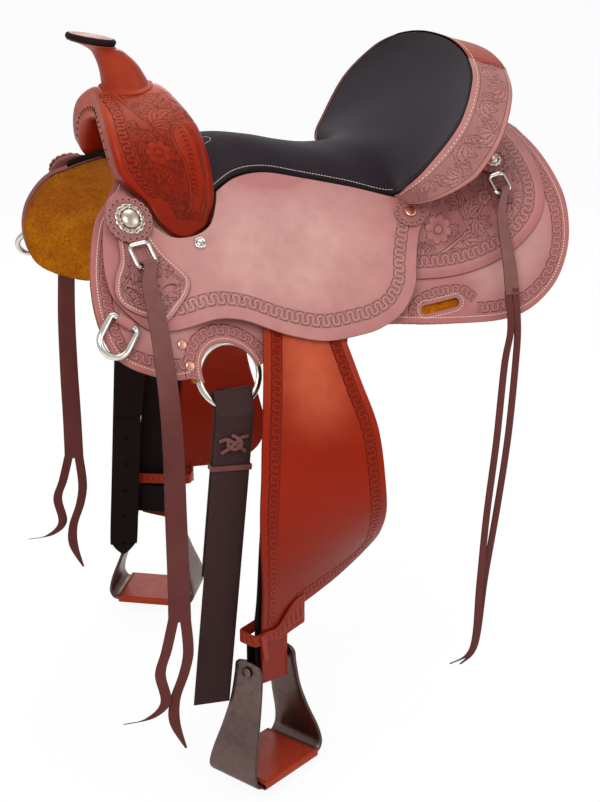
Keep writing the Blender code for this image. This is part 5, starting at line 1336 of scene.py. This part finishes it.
LOOP_WIRE, STRING = 0.0060, 0.0024
LOOPS = {"front": (-0.279, 0.194, 0.0335, 0.037, ear_top, 14.0),
         "rear": (0.234, 0.131, 0.028, 0.033, rear_top, 12.0)}


def loop_frame(label, side):
    x, s, width, height, lift, turn_by = LOOPS[label]
    here = rest_on(x, s, 0.022, lift, side, clearance=LOOP_WIRE / 2 + STRING + 4 * GAP)
    return here @ Matrix.Rotation(math.radians(-turn_by) * side, 4, "Z"), width, height


def strap(piece, centres, across, widths, thick, tone=0.0):
    """Flat strap with rounded edges: centres and directions across, in world metres."""
    centres, across = np.asarray(centres, float), unit(np.asarray(across, float))
    out = unit(np.cross(np.gradient(centres, axis=0), across))
    widths = np.broadcast_to(widths, (len(centres),))
    places = np.linspace(-1, 1, 7)
    section = ([(k, 1.0, 0) for k in places] + [(1, 0.55, 1), (1, -0.55, 1)]
               + [(k, -1.0, 0) for k in places[::-1]] + [(-1, -0.55, 1), (-1, 0.55, 1)])
    rows = []
    for k, lift_by, outer in section:
        half = widths / 2 - (0 if outer else 0.35 * thick * (abs(k) == 1))
        rows.append(centres + across * (k * half)[:, None] + out * (lift_by * thick / 2))
    rows = np.stack(rows, axis=1)
    # Painted shade on the strap's side edges; the end caps get it too
    shade = np.array([0.45 * outer for _, _, outer in section])[None] + 0 * widths[:, None]
    piece.grid(rows, shade, tone[:, None] + 0 * shade if np.ndim(tone) else tone, flip=True, wrap=True)
    piece.cap(rows[0], 0.4, True)
    piece.cap(rows[-1], 0.4, False)


def through(rows, spacing=0.003):
    """Smooth line through rows of numbers, evenly spaced by the first three columns."""
    fine = curve(np.asarray(rows, float) * 1000, closed=False, steps=8)
    at = lengths(fine[:, :3])
    want = np.linspace(0, at[-1], max(3, int(at[-1] / spacing)))
    return np.column_stack([np.interp(want, at, column) for column in fine.T])


def ribbon(piece, rows, spacing, thick, tone=0.0):
    """Strap through rows of place, direction across and width."""
    fine = through(rows, spacing)
    strap(piece, fine[:, :3], fine[:, 3:6], fine[:, 6], thick, tone(fine) if callable(tone) else tone)
    return fine


STRINGS = {
    "front": dict(width=(0.0195, 0.030), rows=[(-279, 232), (-277, 268), (-275, 310), (-274, 360), (-274, 420),
                                                (-274, 500), (-273, 580), (-273, 648)],
                  left=[(-292, 690), (-302, 725), (-296, 765), (-318, 792), (-352, 806)],
                  right=[(-262, 690), (-268, 725), (-281, 765), (-282, 800), (-268, 836)]),
    "rear": dict(width=(0.013, 0.021), rows=[(224, 168), (219, 205), (215, 240), (211, 272)],
                 left=[(200, 310), (184, 350), (168, 440), (158, 540), (152, 640), (146, 735), (112, 750)],
                 right=[(212, 310), (205, 350), (190, 440), (178, 540), (164, 640), (153, 740), (132, 762)])}


def string_lift(label, x, s):
    if label == "front":
        low = JOCKEY_FRONT + LEATHER
        top = ear_top(x, s) if s < 0.28 else low + (ear_top(x, 0.28) - low) * (1 - float(smooth(s, 0.28, 0.32)))
    else:
        top = rear_top(x, s)
    return float(top) + LOOP_WIRE + 2 * STRING + 6 * GAP


for side, tag in SIDES:
    for label, x, s, size, button, lift, look, dome in (
            ("front", -0.285, 0.1495, 0.064, 0.042, ear_top, "antique", 0.62),
            ("rear", 0.240, 0.094, 0.044, 0.026, rear_top, "antique", 0.60),
            ("side", 0.100, 0.137, 0.043, 0.016, jockey_top, "copper", 0.0)):
        concho(rosette(side, tag, label, x, s, size, lift), tag, label, button, look, dome)
    for label, plan in STRINGS.items():
        here, width, height = loop_frame(label, side)
        wire = Piece()
        tube(wire, here, rounded_rectangle(width - LOOP_WIRE, height - LOOP_WIRE, 0.006), LOOP_WIRE / 2, squash=0.85)
        wire.stand(f"loop_{label}_{tag}", "silver", f"loop_body_{label}_{tag}")
        w0, w1 = plan["width"]
        bar = height / 2 - LOOP_WIRE / 2
        reach = LOOP_WIRE / 2 + STRING / 2 + 3 * GAP
        flat = np.array(here.to_3x3().col[0]) * side
        rows = [(*(here @ Vector((0, y, z))), *flat, w0)
                for y, z in ((bar + 0.016, -reach), (bar + 0.003, -reach), (bar - reach * 0.8, -reach * 0.6),
                             (bar - reach, 0.0), (bar - reach * 0.7, reach * 0.7), (bar + 0.002, reach))]
        line = np.array(plan["rows"]) / 1000
        for k, (x, s) in enumerate(line):
            wide = w0 + (w1 - w0) * (k / (len(line) - 1)) ** 0.6
            rows.append((*form(x, s, string_lift(label, x, s), side), 1.0, 0.0, 0.0, wide))
        piece = Piece()
        ribbon(piece, rows, 0.003, STRING,
               lambda fine: (0.55 if label == "front" else 0.75) * (1 - 0.7 * smooth(np.arange(len(fine)), 30, 90)))
        for branch, shift in (("left", -1), ("right", 1)):
            thong = np.vstack([line[-1] + (shift * w1 / 4, -0.006), np.array(plan[branch]) / 1000])
            widths = [w1 / 2 * 0.96] + [2 * w1 / 4.2] * (len(thong) - 2) + [0.003]
            rows = []
            for k, ((x, s), wide) in enumerate(zip(thong, widths)):
                lift = string_lift(label, x, s) - shift * 0.0045 * min(1.0, k / 2)
                rows.append((*form(x, s, lift, side), 1.0, 0.0, 0.0, wide))
            ribbon(piece, rows, 0.003, STRING * 0.94, 0.15)
        piece.stand(f"string_{label}_{tag}", "string", f"string_body_{label}_{tag}")

# Screws and rivets on the near and off side

for side, tag in SIDES:
    piece = Piece()
    disc(piece, rest_on(-0.1965, 0.1645, 0.008, jockey_top, side),
         [0.0078, 0.0080, 0.0072, 0.0055, 0.0050, 0.0042, 0.0], [0, 0.0010, 0.0016, 0.0018, 0.0012, 0.0017, 0.0019],
         [0.3, 0, 0, 0.1, 0.9, 0.1, 0.0])
    piece.build(f"screw_{tag}", "silver")
    piece = Piece()
    for x, s in ((-0.2425, 0.291), (-0.236, 0.316)):
        disc(piece, rest_on(x, s, 0.006, skirt_top, side), [0.0058, 0.0062, 0.0056, 0.0040, 0.0],
             [0, 0.0008, 0.0014, 0.0019, 0.0021], [0.4, 0, 0, 0, 0])
    piece.build(f"rivets_{tag}", "copper")

# Front dees with their tabs

DEE_WIRE, DEE_WIDTH, DEE_LENGTH, TAB = 0.0085, 0.047, 0.057, 0.0030
for side, tag in SIDES:
    here = rest_on(-0.3150, 0.2780, 0.034, skirt_top, side, clearance=DEE_WIRE / 2 + TAB * 0.6 + 2 * GAP)
    here = here @ Matrix.Rotation(math.radians(36.4) * side, 4, "Z")
    half, depth, corner = (DEE_WIDTH - DEE_WIRE) / 2, DEE_LENGTH - DEE_WIRE, 0.006
    outline = outline_of(arc(half - corner, corner, corner, -90, 0, 7), arc(0, depth - half, half, 0, 180, 25),
                         arc(corner - half, corner, corner, 180, 270, 7), spacing=0.0015)
    dee = Piece()
    tube(dee, here, outline, DEE_WIRE / 2)
    dee.stand(f"dee_{tag}", "silver", f"dee_body_{tag}")
    thin = TAB * 0.55
    reach = DEE_WIRE / 2 + thin / 2 + GAP
    profile = [(-0.030, -reach - 0.0015), (-0.012, -reach - 0.0002), (0.0, -reach), (reach * 0.8, -reach * 0.6),
               (reach, 0.0), (reach * 0.7, reach * 0.7), (0.0, reach), (-0.0035, reach * 0.8)]
    flat = here.to_3x3().col[0]
    wide = 2 * (DEE_WIDTH / 2 - DEE_WIRE - 0.004)
    tab = Piece()
    ribbon(tab, [(*(here @ Vector((0, y, z))), *flat, wide) for y, z in profile], 0.001, thin, 0.2)
    tab.stand(f"dee_tab_{tag}", "rose")


# Cinch rings, latigo and off billet

RING_OUTER, RING_BAND, RING_THICK, RING_GAP = 0.090, 0.008, 0.005, 0.0024


def ring_frame(side):
    drop = (RING_OUTER / 2) ** 2 / (2 * ARC)
    lift = SKIRT_LIFT - drop - RING_THICK - 2 * GAP
    return surface_frame(*RING_AT, lambda x, s: lift + 0 * x, side)


def strap_over_ring(side, width, thick, inner_length, length, lean):
    here = ring_frame(side)
    mid = RING_THICK / 2
    reach = RING_THICK / 2 + thick / 2 + RING_GAP
    inner = RING_OUTER / 2 - RING_BAND
    fold = math.sqrt(inner ** 2 - (width / 2) ** 2) - thick / 2 - RING_GAP
    low = RING_OUTER / 2 + 0.006
    turn_path = [(low, mid - reach), (fold + 0.002, mid - reach), (fold - reach * 0.45, mid - reach * 0.75),
                 (fold - reach * 0.8, mid), (fold - reach * 0.45, mid + reach * 0.75),
                 (fold + 0.002, mid + reach), (low, mid + reach)]
    points = [here @ Vector((0, y, z)) for y, z in turn_path]
    flat = here.to_3x3().col[0] * side
    down = Vector((-math.sin(lean), 0, -math.cos(lean)))
    level = Vector((flat.x, flat.y, 0))
    level = (level - level.dot(down) * down).normalized()
    shift = Vector((0, side * 0.0015, 0))
    rows = [(points[0] + shift + d * down, level) for d in (inner_length, inner_length * 0.5, 0.014)]
    rows += [(p, flat) for p in points]
    rows += [(points[-1] - shift + d * down, level) for d in (0.014, length * 0.25, length * 0.5,
                                                             length * 0.75, length)]
    return [(*p, *w, width) for p, w in rows]


for side, tag in SIDES:
    here = ring_frame(side) @ Matrix.Translation((0, 0, RING_THICK / 2))
    a, b = circle(120)[:, None], circle(16)
    across, upward = (np.sign(wave) * np.abs(wave) ** 0.8 for wave in (np.cos(b), np.sin(b)))
    r = RING_OUTER / 2 - RING_BAND / 2 + RING_BAND / 2 * across
    points = np.stack([r * np.cos(a), r * np.sin(a), RING_THICK / 2 * upward + 0 * a], axis=-1)
    ring = Piece()
    ring.grid(placed(here, np.concatenate([points, points[:1]])), wrap=True)
    ring.stand(f"cinch_ring_{tag}", "silver")

WEB, WEB_WIDTH, LATIGO_LENGTH, LATIGO_LEAN = 0.0026, 0.051, 0.410, 5.5
KEEPER_DROP, KNOT_DROP = 0.056, 0.026
rows = strap_over_ring(NEAR, WEB_WIDTH, WEB, LATIGO_LENGTH * 0.54, LATIGO_LENGTH, math.radians(LATIGO_LEAN))
latigo = Piece()
ribbon(latigo, rows, 0.002, WEB)
latigo.stand("latigo", "nylon", "latigo_body")
outer, inner = Vector(rows[-5][:3]), Vector(rows[2][:3])
level = Vector(rows[-4][3:6]).normalized()
down = (Vector(rows[-1][:3]) - outer).normalized()
out_dir = level.cross(down)
if out_dir.y > 0:
    out_dir.negate()
middle = (outer + inner) / 2
x, y = WEB_WIDTH / 2 + 2 * GAP, abs((outer - inner).dot(out_dir)) / 2 + WEB / 2 + 2 * GAP + 0.0004
box = [middle + down * KEEPER_DROP + level * p + out_dir * q for p, q in ((-x, -y), (x, -y), (x, y), (-x, y))]
path = resample(np.array(box), 0.002, closed=True)
path = np.vstack([path, path[:2]])
keeper = Piece()
strap(keeper, path, np.tile(np.array(-down), (len(path), 1)), 0.0075, 0.0020, tone=0.35)
keeper.stand("latigo_keeper", "string", "latigo_body")
knot = Piece()
knot_frame = Matrix((level, -down, out_dir)).transposed().to_4x4()
knot_frame.translation = outer + down * KNOT_DROP + out_dir * 0.0030
for points in (
        [(-20, 4, -1), (-10, 7, 1), (0, 2, 3.5), (10, -5, 1.5), (17, -11, -1)],
        [(19, 9, -1), (10, 9, 1), (0, 3, 4.5), (-9, -6, 2), (-16, -12, -1)],
        [(-7, 8, 0.5), (-9, 0, 3.5), (0, -5, 4.8), (9, 0, 3.5), (7, 8, 0.5)],
        [(-4, 12, 0), (2, 10, 3.5), (7, 4, 4.0), (8, -4, 2)]):
    tube(knot, knot_frame, through(np.array(points) / 1000, 0.001), 0.0026, closed=False, squash=0.55, tone=0.4)
knot.stand("latigo_knot", "string", "latigo_body")

STRAP_THICK, BILLET_WIDTH, BILLET_LENGTH, BILLET_LEAN = 0.0034, 0.044, 0.395, 3.5
FIRST_EYE, EYE_PITCH, EYES = 0.36, 0.045, 7
rows = strap_over_ring(OFF, BILLET_WIDTH, STRAP_THICK, BILLET_LENGTH * 0.45, BILLET_LENGTH, math.radians(BILLET_LEAN))
tip = Vector(rows[-1][:3])
down = (tip - Vector(rows[-4][:3])).normalized()
for run, share in ((0.010, 0.86), (0.020, 0.52), (0.028, 0.10)):
    rows.append((*(tip + run * down), *rows[-1][3:6], BILLET_WIDTH * share))
billet = Piece()
fine = ribbon(billet, rows, 0.002, STRAP_THICK, 0.2)
plumb = Vector((0, 0, 1))
for k in range(EYES):
    index = np.argmin(np.abs(fine[60:, 2] + FIRST_EYE + EYE_PITCH * k)) + 60
    level = Vector(fine[index, 3:6]).normalized()
    out = level.cross(plumb)
    for out_sign in (-1, 1):
        eye = Matrix((level, plumb, out)).transposed().to_4x4()
        eye.translation = Vector(fine[index, :3]) + eye.to_3x3().col[2] * 0.00175 * out_sign
        # Each hole is not cut: a dark disc on both faces stands for it as painted shade
        disc(billet, eye, [0.0032, 0.0028, 0.0], [0.00012 * out_sign] * 3, [0.3, 1.0, 1.0], count=14)
billet.stand("off_billet", "black", "billet_body")

# Fenders, stirrup leathers, hobble straps

FENDER = [
    (-116, 172), (-124, 215), (-134, 262), (-142, 310), (-154, 400), (-160, 480), (-165, 556), (-168, 610),
    (-170, 650), (-171, 672), (-171, 734), (-119, 734), (-119, 676), (-115, 663), (-110, 650), (-98, 640),
    (-55, 629), (-14, 617), (18, 598), (32, 570), (27, 535), (15, 470), (7, 394), (-12, 331), (-25, 280),
    (-36, 230), (-46, 172)]


def fender_tone(x, s, d):
    pale = 0.9 * hump(x + 0.075, 0.045) * (1 - smooth(s, 0.33, 0.42))
    return np.clip(pale, 0, 1) - 0.30 * smooth(s, 0.46, 0.60)


def round_the_bolt(x, s, lift, side):
    """Point of the stirrup leather, which turns round the bolt and up again below LEATHER_LOW."""
    x, s, lift = np.broadcast_arrays(np.asarray(x, float), s, lift)
    run = np.maximum(0, s - LEATHER_LOW)
    radius = REACH + lift - STRAP_MIDDLE
    a = np.minimum(run / REACH, math.pi)
    turned = np.stack([x - leather_x(LEATHER_LOW), side * radius * np.cos(a),
                       np.maximum(0, run - math.pi * REACH) - radius * np.sin(a)], axis=-1)
    return np.where((s > LEATHER_LOW)[..., None], placed(stirrup_frame(side), turned), hanging(x, s, lift, side))


FENDER_THICK, LEATHER_WIDTH = 0.0036, 0.058
HOBBLE_AT = 0.658    # down the pattern of the stirrup leather
for side, tag in SIDES:
    body = f"leg_{tag}"
    fender = Piece()
    panel(fender, curve(FENDER, corners=(0, 10, 11, 26), steps=6), fender_lift, side, thick=FENDER_THICK,
          place=hanging, tone=fender_tone)
    for edge, start in ((FENDER[1:9], 0.0095), (FENDER[15:26], 0.0085)):
        border(fender, curve(edge, closed=False), fender_lift, side, start, 0.0155, 0.0145, hanging,
               thick=FENDER_THICK, tone=0.0)
    fender.stand(f"fender_{tag}", "orange", body)

    s_line = np.concatenate([np.linspace(LEATHER_TOP, TURN_END, 120), np.linspace(TURN_END, LEATHER_LOW, 24)[1:],
                             LEATHER_LOW + np.linspace(0, math.pi * REACH, 24)[1:],
                             LEATHER_LOW + math.pi * REACH + np.linspace(0, 0.040, 12)[1:]])
    mid = leather_x(np.minimum(s_line, LEATHER_LOW))
    a, b = (round_the_bolt(mid + hand * LEATHER_WIDTH / 2, s_line, STRAP_MIDDLE, side) for hand in (-1, 1))
    strip = Piece()
    strap(strip, (a + b) / 2, b - a, LEATHER_WIDTH, STRAP_THICK, tone=0.1)
    strip.stand(f"stirrup_leather_{tag}", "black", body)

    outer = FENDER_LIFT + 0.003 + FENDER_THICK
    inner = HANG_LIFT - 2 * REACH
    centre = Vector(hanging(leather_x(HOBBLE_AT), HOBBLE_AT, 0.5 * (inner + outer), side))
    here = Matrix.Translation(centre) @ Matrix.Rotation(TURN * -side, 4, "Z")
    deep, wide, band = (outer - inner) / 2 + 0.0014, 0.049, 0.0030
    hobble = Piece()
    base = rounded_rectangle(2 * wide + band, 2 * deep + band, 0.0065)
    # Rows round the leg: inner face, rounded upper edge, outer face with the carved line, lower edge
    rows, shades = [], []
    outer_face = smooth(base[:, 1] * side, 0.0, deep)
    centre_tall = 0.0080 + 0.0135 * outer_face * smooth(base[:, 0], -0.022, 0.038)
    centre_line = 0.05 * base[:, 0] + outer_face * (0.007 * smooth(base[:, 0], -0.005, 0.040)
                                                    - 0.006 * hump(base[:, 0] + 0.008, 0.018))
    step = np.roll(base, -1, axis=0) - np.roll(base, 1, axis=0)
    outwards = unit(np.column_stack([step[:, 1], -step[:, 0]]))
    around = lengths(np.vstack([base, base[:1]]))[:-1]
    # Painted shade on the inner face, the edges and in the carved line and its waves
    for h, d, shade in ((-1.0, -0.9, 0.4), (-1.0, 0.6, 0.5), (-0.93, 1.0, 0.2), (-0.80, 1.0, 0.0), (-0.72, 0.75, 0.9),
                        (-0.64, 1.0, 0.1), (-0.3, 1.0, 0.0), (0.0, 1.0, 0.0), (0.3, 1.0, 0.0), (0.64, 1.0, 0.1),
                        (0.72, 0.75, 0.9), (0.80, 1.0, 0.0), (0.93, 1.0, 0.2), (1.0, 0.6, 0.5), (1.0, -0.9, 0.4),
                        (-1.0, -0.9, 0.4)):
        carved = 0.0005 * (0.5 + 0.5 * np.cos(around * math.tau / 0.0090 + h * 2.5)) * (abs(h) < 0.35)
        offset = (d * band / 2 - carved)[:, None]
        rows.append(np.column_stack([base[:, :2] + outwards * offset + (0.0105, 0), centre_line + h * centre_tall]))
        shades.append(shade + 1400 * carved)
    hobble.grid(placed(here, np.array(rows)), np.clip(np.array(shades), 0, 1), 0.1, wrap=True, flip=True)
    tail_x = np.linspace(0.0, 0.040, 20)
    tail = np.column_stack([-0.030 + tail_x * 0.2, np.full(20, side * (deep + band * 1.2)), 0.004 - tail_x])
    strap(hobble, placed(here, tail), np.tile(np.array(here.to_3x3() @ Vector((1, 0, 0.1))), (20, 1)), 0.009, 0.0018,
          tone=0.1)
    hobble.stand(f"hobble_strap_{tag}", "orange", body)

    # Stirrup, bolt and tread; low is the middle of the tread plate below the bolt
    here = stirrup_frame(side)
    body = f"stirrup_body_{tag}"
    half, deep, plate, low = 0.068, 0.085, 0.0045, -0.1495
    top = 0.029 + plate / 2 + 0.0035
    side_path = [(top, 0.0155, 0.16), (top, 0.0140, 0.34), (top, 0.008, 0.50), (top, -0.010, 0.56),
                 (top + (half - top) * 0.18, -0.045, 0.62), (top + (half - top) * 0.5, -0.080, 0.74),
                 (top + (half - top) * 0.86, -0.112, 0.88), (half, -0.134, 0.97), (half - 0.003, -0.1445, 1.0),
                 (half - 0.011, low, 1.0)]
    whole = (side_path + [(x, low, 1.0) for x in (0.03, 0.0, -0.03)]
             + [(-x, z, share) for x, z, share in side_path[::-1]])
    fine = through([(x, 0, z, 0, 1, 0, deep * share) for x, z, share in whole], 0.0025)
    stirrup = Piece()
    strap(stirrup, placed(here, fine[:, :3]), fine[:, 3:6] @ np.array(here.to_3x3()).T, fine[:, 6], plate)
    stirrup.stand(f"stirrup_{tag}", "aluminium", body)
    reach = top + plate / 2 + GAP
    head = np.array((0.0032, 0.0032, 0.0024, 0, 0)) + reach
    bolt = Piece()
    disc(bolt, here @ Matrix.Rotation(math.pi / 2, 4, "Y"),
         [0, 0.0068, 0.0076, 0.0076, 0.0040, 0.0040, 0.0076, 0.0076, 0.0068, 0], [*-head, *head[::-1]], 0.0, count=36)
    bolt.stand(f"stirrup_bolt_{tag}", "aluminium", body)
    cover_thick, wide = 0.0030, half - 0.0135
    high = plate / 2 + GAP + cover_thick
    section = rounded_rectangle(deep + 2 * (cover_thick + GAP), 2 * high, 0.0045)
    xs = np.concatenate([[-wide, -wide], np.linspace(-wide + 0.001, wide - 0.001, 40), [wide, wide]])
    grow = np.concatenate([[0.55, 0.85], np.ones(40), [0.85, 0.55]])
    rings = np.stack([np.column_stack([np.full(len(section), x), section[:, 0], low + section[:, 1] * share])
                      for x, share in zip(xs, grow)])
    tread = Piece()
    tread.grid(placed(here, rings), 0.0, 0.25, wrap=True)
    tread.stand(f"tread_cover_{tag}", "orange", body)
    thread = Piece()
    for edge_x in (-wide + 0.004, wide - 0.004):
        points = [(edge_x, y, low + high + 0.0002) for y in np.arange(-deep / 2 + 0.002, deep / 2 - 0.001, 0.0042)]
        sew(thread, placed(here, points), np.tile(np.array(here.to_3x3() @ Vector((0, 1, 0))), (len(points), 1)),
            np.tile((0, 0, 1.0), (len(points), 1)))
    thread.build(f"stitches_tread_{tag}", "dark_thread", body, "orange_leather")

# Black lacing that joins and binds the skirts in front

lace = Piece()
for side, reach in ((NEAR, 2), (OFF, 4)):
    line = resample(curve([(-264, 22), (-272, 50), (-286, 80), (-299, 106)][:reach], closed=False), 0.0052)
    for (x, s), (x2, s2) in zip(line[:-1], line[1:]):
        turn = [form(x + 0.013, s + 0.004, SKIRT_TOP + 0.0012, side), form(x - 0.0015, s, SKIRT_TOP + 0.0016, side),
                form(x2 - 0.002, s2, SKIRT_LIFT - 0.001, side)]
        tube(lace, Matrix.Identity(4), through(turn, 0.0015), 0.0019, closed=False, sides=8)
lace.build("skirt_lacing", "black")

# Hidden parts keep their own shape
for node, look in (("tree", "wood"), ("ground_seat", "black")):
    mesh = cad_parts[node].data
    mesh.materials.clear()
    mesh.materials.append(LOOKS[look])

# Floor, backdrop and light

WHITE = (1.0, 1.0, 1.0, 1.0)
FLOOR_Z, FLOOR_HALF = -0.756, 20
k = Look("floor")
pale = (0.93, 0.93, 0.93, 1.0)
shade = k.mix(k.span(k.noise(6.0, 3.0), 0.3, 0.7), pale, dim(pale, 0.99))
k.finish(Base_Color=shade, Roughness=0.9, Specular_IOR_Level=0.1)
glow = k.node("ShaderNodeEmission", Color=WHITE, Strength=1.02)
blend = k.node("ShaderNodeMixShader")
k.put(blend.inputs[0], k.math("MULTIPLY", k.node("ShaderNodeLightPath").outputs["Is Camera Ray"], 0.90))
k.put(blend.inputs[1], k.shader.outputs[0])
k.put(blend.inputs[2], glow.outputs[0])
k.put(k.tree.nodes["Material Output"].inputs[0], blend.outputs[0])
mesh = bpy.data.meshes.new("floor")
mesh.from_pydata([(x * FLOOR_HALF, y * FLOOR_HALF, 0) for x, y in ((-1, -1), (1, -1), (1, 1), (-1, 1))], [],
                 [(0, 1, 2, 3)])
mesh.materials.append(k.mat)
floor = bpy.data.objects.new("floor", mesh)
floor.location = (0, 0, FLOOR_Z)
bpy.context.scene.collection.objects.link(floor)

world = bpy.data.worlds.new("studio")
bpy.context.scene.world = world
world.use_nodes = True
nodes, link = world.node_tree.nodes, world.node_tree.links.new
background, plain = nodes["Background"], nodes.new("ShaderNodeBackground")
for shader, strength in ((background, 0.54), (plain, 1.0)):
    shader.inputs["Color"].default_value = WHITE
    shader.inputs["Strength"].default_value = strength
either = nodes.new("ShaderNodeMixShader")
link(nodes.new("ShaderNodeLightPath").outputs["Is Camera Ray"], either.inputs[0])
link(background.outputs[0], either.inputs[1])
link(plain.outputs[0], either.inputs[2])
link(either.outputs[0], nodes["World Output"].inputs[0])

for name, power, size, location in (("key", 38.0, 1.3, (-1.3, -1.9, 1.5)), ("fill", 14.0, 1.8, (1.9, -1.6, 0.6)),
                                    ("top", 16.0, 1.6, (0.2, 0.5, 2.0)), ("rear", 12.0, 1.5, (0.6, 2.2, 0.9))):
    data = bpy.data.lights.new(name, "AREA")
    data.energy = power
    data.shape = "RECTANGLE"
    data.size = data.size_y = size
    lamp = bpy.data.objects.new(name, data)
    lamp.location = location
    lamp.rotation_euler = (Vector((0, 0, -0.2)) - Vector(location)).to_track_quat("-Z", "Y").to_euler()
    bpy.context.scene.collection.objects.link(lamp)

bpy.context.scene.view_settings.view_transform = "Standard"
